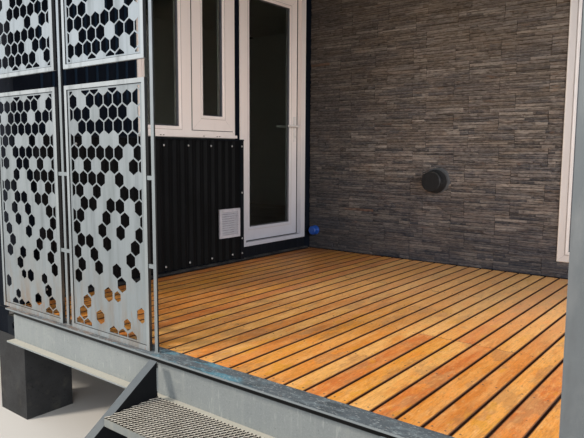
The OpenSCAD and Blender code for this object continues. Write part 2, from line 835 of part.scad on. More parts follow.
// One lever outside and one inside
module door_handles() color("#f2f2f0") place() {
    translate([leaf_x1, leaf_y1 - lever_set, lever_level]) handle();
    translate([leaf_x0, leaf_y1 - lever_set, lever_level]) mirror([1, 0, 0]) handle();
}

// Cladding and fittings of the window wall
clad_face = clad_out - trim_proud;
clad_y0 = front_y0 + post_in + trim_width;
clad_y1 = door_y - clad_gap - trim_width;
module wall_cladding() color("#15181c") place()
    difference() {
        facing_right(clad_face, clad_y0, clad_foot)
            ribbed_board(clad_y1 - clad_y0, clad_top - clad_foot, clad_pitch, clad_wave,
                clad_face + skin_inset);
        slab(-over, clad_out + over, vent_y + spigot_set - mil, vent_y + vent_side - spigot_set + mil,
            vent_foot + spigot_set - mil, vent_foot + vent_side - spigot_set + mil);
    }

// Side trims and capping of the cladding, the plinth plate under the door, and the drip flashing
// that runs under both
module cladding_trims() color("#1a1f26") place()
    let (trim_foot = drip_gap + drip_lip + drip_out, face = skin_inset + clad_out) {
        for (y = [clad_y0 - trim_width, clad_y1])
            slab(-skin_inset, clad_out, y, y + trim_width, trim_foot, clad_top);
        slab(-skin_inset, clad_out + drip_gap, clad_y0 - trim_width, clad_y1 + trim_width,
            clad_top, clad_top + capping);
        slab(-skin_inset, -skin, clad_y1 + trim_width, door_right, trim_foot, door_foot);
        translate([-skin_inset, door_right, 0]) rotate([90, 0, 0])
            linear_extrude(door_right - clad_y0 + trim_width)
                polygon([[0, drip_gap], [face + drip_out, drip_gap], [face + drip_out, drip_gap + drip_lip],
                    [face, trim_foot], [0, trim_foot]]);
    }

// Louvred grille: a flat border with sloping blades across it and a short spigot through the cladding
vent_border = 24;
vent_rise = 14;
spigot_wall = 3;
spigot_set = vent_border - spigot_wall;
blade_drop = 10;
blade_metal = 3;
module vent_unit()
    let (open = vent_side - 2 * vent_border, step = open / louvres) {
        difference() {
            cube([vent_side, vent_rise, vent_side]);
            translate([vent_border, -over, vent_border]) cube([open, vent_rise + 2 * over, open]);
        }
        for (k = [0:louvres - 1])
            translate([vent_border, 0, vent_border + (k + 0.5) * step]) rotate([90, 0, 90])
                linear_extrude(open)
                    polygon([[1, blade_drop / 2], [1, blade_drop / 2 + blade_metal],
                        [vent_rise - 2, -blade_drop / 3], [vent_rise - 2, -blade_drop / 3 - blade_metal]]);
        translate([spigot_set, -clad_face, spigot_set])
            ring(vent_side - 2 * spigot_set, vent_side - 2 * spigot_set, clad_face,
                spigot_wall, spigot_wall, spigot_wall);
    }

module vent_grille() color("#d8d6da") place() facing_right(clad_face, vent_y, vent_foot) vent_unit();

// Fittings of the stone wall
glazing_set = 4;
module glazing_frame() color("#ece8e4") place()
    translate([glazing_x, porch_depth + glazing_set, glazing_foot])
        ring(glazing_width, head_level - glazing_foot, frame_depth, glazing_face, glazing_face, glazing_face);

module glazing_glass() color("#9fb4bc", 0.35) place()
    let (y = porch_depth + glazing_set + glass_set)
    slab(glazing_x + glazing_face, glazing_right - glazing_face, y, y + glass,
        glazing_foot + glazing_face, head_level - glazing_face);

// Slatted blind on the inside of the tall glazing: head rail, slats and two ladder tapes
module glazing_blind() color("#d9d4cc") place()
    let (side_gap = 12, rail_height = 30, rail_depth = 38, rail_lap = 20, foot_gap = 30, slat = 1.5,
        tape = 12, tape_metal = 2, tape_share = 0.18,
        x0 = glazing_x + glazing_face + side_gap, x1 = glazing_right - glazing_face - side_gap,
        y = porch_depth + glazing_set + frame_depth, middle = y + rail_depth / 2,
        rail_foot = head_level - glazing_face + rail_lap - rail_height,
        count = floor((rail_foot - foot_gap - glazing_foot - glazing_face) / slat_pitch)) {
        slab(x0, x1, y, y + rail_depth, rail_foot, rail_foot + rail_height);
        for (k = [1:count]) translate([x0, middle, rail_foot - k * slat_pitch]) rotate([slat_tilt, 0, 0])
            translate([0, -slat_depth / 2, -slat / 2]) cube([x1 - x0, slat_depth, slat]);
        for (share = [tape_share, 1 - tape_share])
            translate([x0 + share * (x1 - x0) - tape / 2, middle - tape_metal / 2,
                    rail_foot - count * slat_pitch - tape_metal])
                cube([tape, tape_metal, count * slat_pitch + 2 * tape_metal]);
    }

// Terminal of a through-wall flue, turned about its own axis: pipe, wall ring, neck with a bead, and disc
module flue_cap() color("#1d1e21") place()
    let (ring_metal = 4, slope = 6, bead = 13, bead_width = 10, bead_round = 2, groove = 8, disc_depth = 16,
        edge = 5, disc_from = flue_out - disc_depth, bead_to = disc_from - groove,
        bead_from = bead_to - bead_width)
    translate([flue_x, porch_depth, flue_z]) rotate([90, 0, 0]) rotate_extrude()
        polygon([[0, -stone], [flue_pipe, -stone], [flue_pipe, 0], [flue_ring, 0], [flue_ring, ring_metal],
            [flue_neck, ring_metal + slope], [flue_neck, bead_from], [flue_neck + bead, bead_from + bead_round],
            [flue_neck + bead, bead_to - bead_round], [flue_neck, bead_to], [flue_neck, disc_from],
            [flue_r, disc_from], [flue_r, flue_out - edge], [flue_r - edge, flue_out], [0, flue_out]]);

// Round inlet cover near the door: flange, neck and turned cap
module wall_inlet() color("#1b55b8") place()
    let (side_gap = 38, flange = 14, slope = 6, neck = 8, neck_to = 46, rim = 3, rim_to = 56, cap_to = 62)
    translate([inlet_r + side_gap, porch_depth, inlet_z]) rotate([90, 0, 0]) rotate_extrude()
        polygon([[0, 0], [inlet_r, 0], [inlet_r, flange], [inlet_r - neck, flange + slope],
            [inlet_r - neck, neck_to], [inlet_r - rim, neck_to], [inlet_r - rim, rim_to],
            [inlet_r - neck - 1, cap_to], [0, cap_to]]);

// Deck
module front_beam(z)
    translate([0, 0, z]) i_beam(right);

module side_beam(z)
    translate([right, beam_width + mil, z]) rotate([0, 0, 90]) i_beam(back_y0 - beam_width - mil);

deck_beam_foot = -beam_height;
module deck_beams() color("#8e9aa3") place() {
    front_beam(deck_beam_foot);
    for (x = [right - porch_post, right - stiffener])
        translate([x, 0, 0]) slab(0, stiffener, 0, (beam_width - beam_web) / 2, deck_beam_foot + beam_flange,
            -beam_flange);
    translate([right - (porch_post + stiffener) / 2, 0, 0])
        slab(0, stiffener, (beam_width + beam_web) / 2, beam_width, deck_beam_foot + beam_flange, -beam_flange);
    side_beam(deck_beam_foot);
}

// Joists and purlins run from the front module to the web of the side beam, evenly spaced.
// They meet the rails of the module, or its castings, which stand further out.
joist_start = beam_width + joist_gap;
joist_run = porch_depth - beam_width - 2 * joist_gap - joist_width;
joist_count = ceil(joist_run / joist_spacing);
web_x = right - (beam_width + beam_web) / 2;
module cross_tubes(foot, height)
    for (k = [0:joist_count])
        let (y = joist_start + k * joist_run / joist_count,
            at_casting = y < front_y0 + casting_width || y + joist_width > front_y1 - casting_width,
            x = at_casting ? 0 : -frame_inset)
        translate([x, y, foot]) rotate([90, 0, 90]) linear_extrude(web_x - x) difference() {
            square([joist_width, height]);
            translate([joist_wall, joist_wall])
                square([joist_width - 2 * joist_wall, height - 2 * joist_wall]);
        }

module deck_joists() color("#7c868e") place() cross_tubes(-board - joist_height, joist_height);

module deck_boards() color("#b06a35") place()
    slab(mil, right - beam_width - mil, beam_width + mil, porch_depth - mil, -board, 0);

module porch_post() color("#9aa5ad") place()
    translate([right - porch_post, 0, 0]) tube(porch_post, porch_post_wall, porch_beam_foot);

module porch_roof_beams() color("#8e9aa3") place() {
    front_beam(porch_beam_foot);
    side_beam(porch_beam_foot);
}

// Purlins under the porch roof sheet, over the joists
purlin_foot = top - frame_inset - roof_set - roof_wave - purlin_height;
module porch_purlins() color("#7c868e") place() cross_tubes(purlin_foot, purlin_height);

module porch_roof_sheet() color("#232e3b") place()
    difference() {
        roof_sheet(mil, right - beam_width - mil, beam_width + mil, back_y0 - mil);
        top_casting_blocks();
    }

// Screens
// Hexagon with its points up, measured across the flats
module hexagon(flat) rotate(30) circle(d = flat * 2 / sqrt(3), $fn = 6);

field_width = panel_width - 2 * field_side;
field_height = panel_height - 2 * field_end;
rows = len(open_cells);
// Cells of the odd rows start further in than those of the even rows
odd_start = 0.386 * hex_pitch;
even_start = odd_start - hex_pitch / 2;
top_row = 0.157 * hex_pitch;
module at_cell(row, cell)
    translate([(row % 2 == 0 ? even_start : odd_start) + cell * hex_pitch,
        field_height + top_row - row * hex_row]) children();

// The cut field: whole hexagons, those cut by the edge and a few small ones
module cut_field()
    intersection() {
        square([field_width, field_height]);
        union() {
            for (row = [0:rows - 1], cell = open_cells[row]) at_cell(row, cell) hexagon(hex_flat);
            for (c = small_cells) at_cell(c[0], c[1]) hexagon(hex_flat * c[2]);
        }
    }

// One panel, upright in XZ with its face on Y = 0: a raised rim round the cut sheet
module screen_panel() {
    ring(panel_width, panel_height, rim_depth, rim_width, rim_width, rim_width);
    translate([0, sheet_set + sheet, 0]) rotate([90, 0, 0]) linear_extrude(sheet) difference() {
        translate([rim_width - over, rim_width - over])
            square([panel_width - 2 * rim_width + 2 * over, panel_height - 2 * rim_width + 2 * over]);
        translate([field_side, field_end]) cut_field();
    }
}

// The left panel is the mirror image of the right one
module panel_pair() {
    translate([right_panel_x, panel_set, 0]) screen_panel();
    translate([left_panel_x + panel_width, panel_set, 0]) mirror([1, 0, 0]) screen_panel();
}

module lower_screens() color("#a9b0b4") place() panel_pair();

// Both upper panels are the lower right one turned half round in its plane
module half_turn() translate([panel_width, 0, panel_height]) rotate([0, 180, 0]) children();

module upper_screens() color("#a9b0b4") place() {
    translate([right_panel_x, panel_set, upper_z]) half_turn() screen_panel();
    translate([left_panel_x, panel_set, upper_z]) half_turn() screen_panel();
}

// Bars from the beam to the porch roof beam, with tabs out to the panels
module screen_bars() color("#a9b0b4") place()
    for (k = [0, 1]) translate([first_bar_x + k * bar_pitch, bar_set, 0]) {
        cube([bar_width, bar_depth, porch_beam_foot]);
        for (z = [0, upper_z], t = tab_levels)
            translate([-bar_gap, 0, z + (z == 0 ? t : panel_height - t - tab_height)])
                cube([k == 0 ? 2 * bar_gap + bar_width : bar_gap + over, bar_depth, tab_height]);
    }

// Stair
stair_slope = atan(rise / going);
// Channel laid on the slope, cut plumb at the beam and level at the ground
module stringer()
    intersection() {
        translate([0, 0, -stringer_drop]) rotate([stair_slope, 0, 0]) translate([0, stringer_height, 0])
            rotate([90, 0, 0]) linear_extrude(2 * deck_level + stringer_height)
                translate([0, -stringer_height])
                    channel_profile(stringer_height, stringer_width, stringer_metal);
        translate([-over, stair_front - over, -deck_level])
            cube([stringer_width + 2 * over, -stair_front + over - mil, deck_level]);
    }

module stair_stringers() color("#8e9aa3") place() {
    translate([stair_x + stringer_width, 0, 0]) mirror([1, 0, 0]) stringer();
    translate([stair_x + stair_width - stringer_width, 0, 0]) stringer();
}

module stair_treads() color("#70787e") place()
    for (k = [1:treads])
        translate([stair_x + stringer_width, -k * going - (tread_depth - going), -k * rise - tread_height]) {
            difference() {
                cube([stair_width - 2 * stringer_width, tread_depth, tread_height]);
                translate([tread_metal, tread_metal, -over])
                    cube([stair_width - 2 * stringer_width - 2 * tread_metal, tread_depth - 2 * tread_metal,
                        tread_height + 2 * over]);
            }
            translate([tread_metal - over, tread_metal - over, tread_height - tread_plate_set - tread_plate])
                cube([stair_width - 2 * stringer_width - 2 * tread_metal + 2 * over,
                    tread_depth - 2 * tread_metal + 2 * over, tread_plate]);
        }

// Piers
module pier_block(x, y, head)
    slab(x, x + pier, y, y + pier, -deck_level, head);

module piers() color("#8f8d88") place() {
    for (x = [left, mid_x - pier / 2, right - pier]) pier_block(x, back_y1 - pier, base);
    for (x = [left, right - pier]) pier_block(x, back_y0 - pier / 2, base);
    pier_block(-pier, back_y0 - pier / 2, base);
    for (x = [left, -pier]) pier_block(x, front_y0, base);
    pier_block(right - pier, 0, deck_beam_foot);
}

// Output
piers();
corner_castings();
corner_posts();
bottom_rails();
top_rails();
cross_members();
floors();
roof_panels();
window_wall();
door_surround_wall();
front_wall();
left_walls();
back_wall();
right_end_wall();
porch_wall();
stone_cladding();
inner_linings();
wall_cladding();
cladding_trims();
vent_grille();
window_frames();
window_sashes();
window_glass();
door_jambs();
door_head_and_threshold();
door_leaf();
door_glass();
door_handles();
glazing_frame();
glazing_glass();
glazing_blind();
flue_cap();
wall_inlet();
deck_beams();
deck_joists();
deck_boards();
porch_post();
porch_roof_beams();
porch_purlins();
porch_roof_sheet();
screen_bars();
lower_screens();
upper_screens();
stair_stringers();
stair_treads();
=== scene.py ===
"""Looks of the container cabin: finishes, deck boards, split stone, beads, fixings and the studio."""

import json
import math
import random

import bmesh
import bpy
from mathutils import Matrix, Vector


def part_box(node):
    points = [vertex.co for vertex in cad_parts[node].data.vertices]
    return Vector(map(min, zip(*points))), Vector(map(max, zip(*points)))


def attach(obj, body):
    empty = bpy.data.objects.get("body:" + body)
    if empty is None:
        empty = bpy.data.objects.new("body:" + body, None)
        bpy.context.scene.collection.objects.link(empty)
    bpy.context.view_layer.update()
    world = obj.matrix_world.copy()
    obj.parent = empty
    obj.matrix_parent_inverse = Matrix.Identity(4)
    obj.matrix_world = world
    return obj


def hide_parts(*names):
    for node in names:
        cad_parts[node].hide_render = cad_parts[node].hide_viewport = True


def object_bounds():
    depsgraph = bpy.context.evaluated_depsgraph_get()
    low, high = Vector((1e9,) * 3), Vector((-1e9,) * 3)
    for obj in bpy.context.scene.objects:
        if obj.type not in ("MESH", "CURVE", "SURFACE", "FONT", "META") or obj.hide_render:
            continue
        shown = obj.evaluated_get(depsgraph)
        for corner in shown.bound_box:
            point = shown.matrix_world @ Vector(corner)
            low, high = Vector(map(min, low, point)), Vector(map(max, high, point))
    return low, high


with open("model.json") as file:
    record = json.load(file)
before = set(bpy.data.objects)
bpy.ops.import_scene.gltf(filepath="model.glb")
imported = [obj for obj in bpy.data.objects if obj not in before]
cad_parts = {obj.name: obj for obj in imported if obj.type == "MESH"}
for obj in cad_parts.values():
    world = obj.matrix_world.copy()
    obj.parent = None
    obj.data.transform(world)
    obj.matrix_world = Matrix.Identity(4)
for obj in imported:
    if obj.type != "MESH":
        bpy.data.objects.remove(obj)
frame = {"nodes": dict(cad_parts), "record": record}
cad_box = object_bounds()

MM = 0.001
CABIN = "cabin"
DOOR = "door"

# Site axes in millimetres: X along the front beam, Y back from it, Z up from the deck surface.
# The window wall stands on X = 0.
SITE = Vector((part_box("deck_boards")[0].x - 0.3 * MM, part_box("deck_boards")[0].y - 100.3 * MM,
               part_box("deck_boards")[1].z))


def at(x, y, z):
    """A place given in site millimetres, in metres of the shared frame."""
    return SITE + Vector((x, y, z)) * MM


def site_box(node):
    """Lowest and highest corner of a CAD node, in site millimetres."""
    low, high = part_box(node)
    return (low - SITE) / MM, (high - SITE) / MM


# Colours and nodes

MATH, VECTOR_MATH, RANGE = "ShaderNodeMath", "ShaderNodeVectorMath", "ShaderNodeMapRange"
SPLIT, JOIN, NOISE = "ShaderNodeSeparateXYZ", "ShaderNodeCombineXYZ", "ShaderNodeTexNoise"
MARK, COPIES = "GeometryNodeInputNamedAttribute", "GeometryNodeInstanceOnPoints"
CUBE, REAL = "GeometryNodeMeshCube", "GeometryNodeRealizeInstances"


def colour(code):
    """An sRGB hex value as linear red, green, blue and alpha."""
    parts = [int(code[i:i + 2], 16) / 255 for i in (1, 3, 5)]
    return tuple(c / 12.92 if c <= 0.04045 else ((c + 0.055) / 1.055) ** 2.4 for c in parts) + (1.0,)


def add(tree, kind, inputs=(), **settings):
    """Adds one node with its settings, and gives its outputs. An input, by name, by number or in
    order, is linked where it is given another node's output, and is set to the value otherwise."""
    made = tree.nodes.new(kind)
    for name, value in settings.items():
        setattr(made, name, value)
    for name, value in inputs.items() if isinstance(inputs, dict) else enumerate(inputs):
        if isinstance(value, bpy.types.NodeSocket):
            tree.links.new(value, made.inputs[name])
        else:
            made.inputs[name].default_value = value
    return made.outputs


# Ways a face looks: axis, and where the mask starts and is full
UP, SIDEWAYS, TO_THE_RIGHT = (2, 0.55, 0.95), (2, 0.95, 0.55), (0, 0.4, 0.8)
EVEN = (1, 1, 1)


class Paint:
    """A material that is built up from its first tint in layers."""

    def __init__(self, name, tint=None, **values):
        """Starts it with its shader, the values set on that, and Object coordinates."""
        self.material = bpy.data.materials.new(name)
        self.material.use_nodes = True
        self.tree, self.tint = self.material.node_tree, tint
        self.tree.nodes.clear()
        surface = add(self.tree, "ShaderNodeBsdfPrincipled",
                      {key.replace("_", " "): value for key, value in values.items()})[0]
        self.shader = surface.node
        add(self.tree, "ShaderNodeOutputMaterial", {"Surface": surface})
        self.where = add(self.tree, "ShaderNodeTexCoord")["Object"]
        self.pattern = self.where

    def tones(self, steps):
        """Tints each board or stone by its own shade, in steps of (from, colour)."""
        shade = add(self.tree, "ShaderNodeAttribute", attribute_name="shade")["Fac"]
        self.tint = add(self.tree, "ShaderNodeValToRGB", {"Fac": shade})[0]
        ramp = self.tint.node.color_ramp
        ramp.interpolation = "CONSTANT"
        while len(ramp.elements) < len(steps):
            ramp.elements.new(0.5)
        for i, (place, code) in enumerate(steps):
            ramp.elements[i].position = place
            ramp.elements[i].color = colour(code)
        return shade

    def clouds(self, size, low, high, stretch=EVEN, detail=4.0, shift=0.0):
        """A cloudy mask from 0 to 1. One cloud is size millimetres wide, times stretch on each axis."""
        moved = add(self.tree, "ShaderNodeMapping", {
            "Vector": self.pattern, "Scale": [1000 / size / s for s in stretch],
            "Location": (shift, shift * 0.7, shift * 1.3)})[0]
        noise = add(self.tree, NOISE, {"Vector": moved, "Scale": 1.0, "Detail": detail,
                                       "Roughness": 0.6})["Fac"]
        return add(self.tree, RANGE, (noise, low, high))[0]

    def facing(self, axis, none, full):
        """A mask by how far a face looks to the high end of an axis."""
        normal = add(self.tree, "ShaderNodeNewGeometry")["Normal"]
        part = add(self.tree, SPLIT, (normal,))[axis]
        return add(self.tree, RANGE, (part, none, full))[0]

    def between(self, axis, low, high, soft):
        """A mask that is 1 where a site coordinate lies between two places, all in metres."""
        place = add(self.tree, SPLIT, (self.where,))[axis]
        low, high = SITE[axis] + low, SITE[axis] + high
        ends = [add(self.tree, RANGE, (place, none, full))[0]
                for none, full in ((low - soft, low), (high + soft, high))]
        return add(self.tree, MATH, ends, operation="MULTIPLY")[0]

    def lay(self, code, share, *masks):
        """Lays a colour over the tint, up to a share, where all the masks say."""
        for mask in masks:
            share = add(self.tree, MATH, (share, mask), operation="MULTIPLY", use_clamp=True)[0]
        under = colour(self.tint) if isinstance(self.tint, str) else self.tint
        self.tint = add(self.tree, "ShaderNodeMix", {0: share, 6: under, 7: colour(code)},
                        data_type="RGBA")[2]

    def wear(self, rows, *within):
        """Lays clouds of colour: a row is the colour, its share and the values of its cloud."""
        for code, share, *cloud in rows:
            self.lay(code, share, self.clouds(*cloud), *within)

    def finish(self, mask, smooth, rough, height, depth):
        """Links the colour, a roughness between two values and a relief of depth millimetres."""
        spread = add(self.tree, RANGE, {"Value": mask, "To Min": smooth, "To Max": rough})[0]
        relief = {"Height": height, "Strength": 0.8, "Distance": depth * MM}
        bump = add(self.tree, "ShaderNodeBump", relief)[0]
        for name, source in (("Base Color", self.tint), ("Roughness", spread), ("Normal", bump)):
            self.tree.links.new(source, self.shader.inputs[name])
        return self.material


# Materials


def painted_steel(name, base, dark, pale, rough=(0.38, 0.6), dust=("#8f8a7e", 0.35), streak=0.25,
                  chips=("#5b4636", 0.0), scuff=0.5, gloss=0.5, extra=None):
    """Steel under air-sprayed paint: a faint orange peel, rain streaks down the faces,
    dust where a face looks up, and a few chips down to primer or rust."""
    paint = Paint(name, base, IOR=1.5, Specular_IOR_Level=gloss)
    mottle = paint.clouds(260, 0.35, 0.68)
    paint.lay(dark, 0.55, mottle)
    paint.wear([(pale, streak, 26, 0.52, 0.74, (1, 1, 22), 4.0, 4.0),
                (pale, scuff, 60, 0.6, 0.72, (2.5, 1, 1), 8.0, 9.0)])
    if chips[1]:
        paint.lay(chips[0], 0.9, paint.clouds(9, 0.76 - 0.04 * chips[1], 0.78, EVEN, 2.0, 2.0))
    paint.lay(*dust, paint.facing(*UP), paint.clouds(90, 0.3, 0.62, shift=6.0))
    if extra:
        extra(paint)
    return paint.finish(mottle, *rough, paint.clouds(3.5, 0.2, 0.8, detail=1.0), 0.12)


def trodden_flange(paint):
    """Wear of the deck beam: its top flange walked on and scratched, with blue scuffs by the stair;
    painted shadow, black, on the web under the lip; fine scratches on the web; dust on the bottom
    flange."""
    # grime is how far down the web the painted shadow under the lip reaches
    flange, grime, foot = 0.0085, 0.047, 0.15
    drawn = (2.4, 1, 1)
    up, side = paint.facing(*UP), paint.facing(*SIDEWAYS)
    head = (up, paint.between(2, -0.004, 0.004, 0.004))
    paint.wear([("#b4babb", 0.35, 24, 0.6, 0.68, (0.7, 1, 3.5), 9.0, 41.0),
                ("#a9afb1", 0.35, 7, 0.5, 0.72, EVEN, 4.0, 43.0),
                ("#62696d", 0.5, 12, 0.62, 0.72, EVEN, 4.0, 47.0)])
    paint.lay("#535d66", 0.92, *head)
    paint.wear([("#8a7362", 0.7, 90, 0.36, 0.6, EVEN, 8.0, 63.0)],
               *head, paint.between(0, -1, 1.05, 0.15))
    paint.wear([("#5b93a8", 0.8, 60, 0.47, 0.56, drawn, 9.0, 12.0)],
               *head, paint.between(0, 1.0, 1.75, 0.2))
    paint.wear([("#7b8990", 0.6, 20, 0.52, 0.61, drawn, 9.0, 15.0),
                ("#393f43", 0.6, 44, 0.52, 0.61, drawn, 9.0, 19.0),
                ("#7d5f48", 0.5, 14, 0.62, 0.71, drawn, 9.0, 23.0),
                ("#c2cacd", 0.55, 5, 0.56, 0.65, drawn, 9.0, 25.0),
                ("#3a3f43", 0.5, 5, 0.58, 0.67, drawn, 9.0, 28.0)], *head)
    paint.lay("#7f878c", 0.8, side, paint.between(2, -flange, -0.001, 0.001))
    # painted shadow: the web is painted black from the lip down to grime below the deck
    paint.lay("#070606", 0.98, side, paint.between(2, -grime, -flange - 0.001, 0.0025))
    paint.lay("#c4c2b7", 0.85, up, paint.between(2, -0.2, -foot, 0.02))


def fluted_sheet(paint):
    """On the flutes beside the porch, one slope is painted paler as painted light, more so above the
    screens, and the other is painted black as painted shade.
    """
    porch_side = (paint.between(0, -0.03, 0.01, 0.002),
                  paint.between(1, -0.1, 1.2, 0.01))
    lit = (*porch_side, paint.facing(1, -0.25, -0.6))
    paint.lay("#141d29", 0.8, *lit)
    paint.lay("#202f40", 0.85, *lit, paint.between(2, 1.24, 3, 0.03))
    paint.lay("#030406", 0.9, *porch_side, paint.facing(1, 0.25, 0.6))


def stair_steel(paint):
    """A stringer: its upper faces are painted paler as painted light, less pale near deck level and
    clouded with dark dirt; its faces to the right are painted near black as painted shade.
    """
    up = paint.facing(*UP)
    paint.lay("#7b8286", 0.95, up)
    paint.lay("#06080c", 0.95, paint.facing(*TO_THE_RIGHT))
    paint.lay("#59626a", 0.85, up, paint.between(2, -0.14, 0, 0.12))
    paint.lay("#4a4a48", 0.5, up, paint.clouds(30, 0.55, 0.7, detail=8.0))


def handled_post(paint):
    """The porch post, dulled and mottled by hands and by splashes up to waist height."""
    paint.wear([("#97999b", 0.4, 90, 0.5, 0.72, (1, 1, 3), 4.0, 51.0),
                ("#5a5b5c", 0.35, 45, 0.54, 0.7, (1, 1, 4), 4.0, 53.0)])
    paint.lay("#4b4e51", 0.4, paint.between(2, -1.0, 0.55, 0.4))


def raised_strands(paint):
    """The strands of the treads are worn bright on top and painted brighter there as painted light;
    their sides are painted near black as painted shade.
    """
    paint.lay("#100e0d", 0.97, paint.facing(*SIDEWAYS))
    paint.lay("#958c7d", 0.5, paint.facing(*UP), paint.clouds(130, 0.5, 0.7, shift=8.0))


def weathered_screen(paint):
    """Wear of the cut screens: soft stains running down, cooler paint on the upper ones, painted light
    on the rims, painted shade on the faces that look to the right, rust and splashed dirt low down."""
    face = site_box("lower_screens")[0].y * MM
    paint.wear([("#858f90", 0.6, 300, 0.45, 0.7, (0.4, 1, 3), 6.0, 31.0),
                ("#7d8788", 0.45, 34, 0.48, 0.74, (0.7, 1, 14), 5.0, 37.0)])
    paint.lay("#b4c4d4", 0.3, paint.between(2, 1.3, 2.6, 0.05))
    # painted light: the front faces of the rims are painted paler
    paint.lay("#d3dade", 0.3, paint.between(1, face - 0.001, face + 0.0006, 0.0004))
    # darker towards the bottom
    paint.lay("#6f777a", 0.5, paint.between(2, -0.1, 0.35, 0.8))
    paint.lay("#5f676b", 0.55, paint.clouds(150, 0.5, 0.72, (0.35, 1, 4), 7.0, 21.0))
    # painted shade: the faces that look to the right are painted near black
    paint.lay("#07090c", 0.96, paint.facing(*TO_THE_RIGHT))
    paint.wear([("#7d6a55", 0.75, 90, 0.42, 0.7, (0.6, 1, 2.6), 8.0, 27.0),
                ("#8d5b33", 0.7, 26, 0.6, 0.72, (0.6, 1, 4), 5.0, 35.0)],
               paint.between(2, 0, 0.05, 0.32))


def white_upvc():
    """Extruded white uPVC, slightly warm: an even satin skin with clouds and spots of grey grime,
    and painted light and painted shade on some faces.
    """
    paint = Paint("white uPVC, extruded", "#efe7e4", IOR=1.53)
    grime = paint.clouds(70, 0.5, 0.75, (1, 1, 4))
    paint.lay("#cfc4c0", 0.35, grime)
    paint.lay("#8d857f", 0.4, paint.clouds(16, 0.68, 0.76, EVEN, 6.0, 3.0))
    # painted light: the faces to the front of the porch are painted whiter
    paint.lay("#fffaf8", 0.7, paint.facing(1, -0.4, -0.8))
    # on the window wall: painted warm light makes them cream high up, and painted shade makes them
    # blue grey near the deck
    wall = paint.between(0, -0.3, 0.1, 0.01)
    paint.lay("#fff1ea", 0.85, wall, paint.between(2, 1.3, 4, 0.5))
    paint.lay("#8b93a8", 0.75, wall, paint.between(2, -1, 0.05, 1.0))
    return paint.finish(grime, 0.28, 0.42, paint.clouds(2.5, 0.2, 0.8, detail=1.0), 0.04)


def sealed_glass():
    """Float glass in a sealed unit: clear with a faint grey-green body colour and a hard gloss."""
    paint = Paint("float glass, sealed unit", IOR=1.5, Transmission_Weight=1.0,
                  Base_Color=colour("#c3cdc9"))
    smear = paint.clouds(120, 0.45, 0.8, (1, 1, 2))
    spread = add(paint.tree, RANGE, {"Value": smear, "To Min": 0.0, "To Max": 0.06})[0]
    paint.tree.links.new(spread, paint.shader.inputs["Roughness"])
    return paint.material


BOARD_PITCH, FIRST_GAP = 95.7, 33.0


def oiled_hardwood():
    """Oiled tropical hardwood decking: every board its own orange brown, fine dark pores along it,
    cloudy worn places, and a low sheen."""
    paint = Paint("oiled hardwood decking", IOR=1.5)
    steps = ("#f09e44", "#ffb458", "#e68e3e", "#f8aa4e", "#ffc06c", "#e49c54", "#f8a83e", "#e48440")
    shade = paint.tones([(i / len(steps), code) for i, code in enumerate(steps)])
    slide = add(paint.tree, VECTOR_MATH, (shade, (61.0, 37.0, 11.0)), operation="MULTIPLY")[0]
    paint.pattern = add(paint.tree, VECTOR_MATH, (paint.where, slide), operation="ADD")[0]
    worn = paint.clouds(40, 0.42, 0.66, (1, 5, 1), 7.0)
    figure = paint.clouds(5, 0.42, 0.68, (1, 40, 1), 5.0, 8.0)
    paint.lay("#ffc47a", 0.55, worn)
    paint.wear([("#b9702f", 0.45, 26, 0.52, 0.68, (1, 5, 1), 8.0, 5.0),
                ("#ff9f3e", 0.6, 60, 0.5, 0.66, (1, 3, 1), 5.0, 13.0)])
    paint.lay("#a85c1e", 0.26, figure)
    # pores are finer than this on the real board; they are drawn 1.6 mm wide so that they show
    paint.wear([("#5a3016", 0.36, 1.6, 0.56, 0.72, (1, 26, 1), 2.0, 3.0)])
    # whole lengths of a board have gone grey brown, others keep a yellow oil; then flecks, and pale
    # streaks as a painted sheen
    paint.wear([("#b08056", 0.45, 120, 0.55, 0.6, (1, 2.6, 1), 5.0, 29.0),
                ("#e3a024", 0.5, 140, 0.6, 0.63, (1, 2.6, 1), 3.0, 39.0),
                ("#8a5328", 0.32, 5, 0.52, 0.66, (1, 5, 1), 6.0, 49.0),
                ("#fdcb8c", 0.45, 10, 0.54, 0.7, (1, 3.2, 1), 6.0, 59.0)])
    # painted light: past the screens the boards are painted paler, as if sunlit
    paint.lay("#ffd09a", 0.4, paint.between(0, 1.5, 9, 0.9),
              paint.between(1, 1.9, 9, 1.0))
    paint.lay("#60402a", 0.65, paint.clouds(11, 0.64, 0.73, (1, 2, 1), 6.0, 17.0))
    # painted shade: a dark band along both edges of every board, as shadow at the gaps, and a darker
    # corner by the door
    across = add(paint.tree, SPLIT, (paint.where,))[0]
    offset = add(paint.tree, MATH, (across, SITE.x + FIRST_GAP * MM), operation="SUBTRACT")[0]
    from_gap = add(paint.tree, MATH, (offset, BOARD_PITCH * MM / 2), operation="PINGPONG")[0]
    edge = add(paint.tree, RANGE, (from_gap, 0.0098, 0.0072))[0]
    paint.lay("#4a2109", 0.82, edge)
    paint.lay("#4a2a17", 0.7, paint.between(0, -1, 0.15, 0.9),
              paint.between(1, 2.75, 9, 0.7))
    # the sides of the boards are painted dark, partly unoiled dirt and partly painted shade in the
    # gaps;
    # the rounded arrises that face right are painted pale as a painted highlight
    side = paint.facing(*SIDEWAYS)
    paint.lay("#451f0a", 0.95, side)
    paint.lay("#ffe2b4", 1.0, side, paint.facing(*UP), paint.facing(0, 0.1, 0.3))
    return paint.finish(worn, 0.42, 0.66, figure, 0.5)


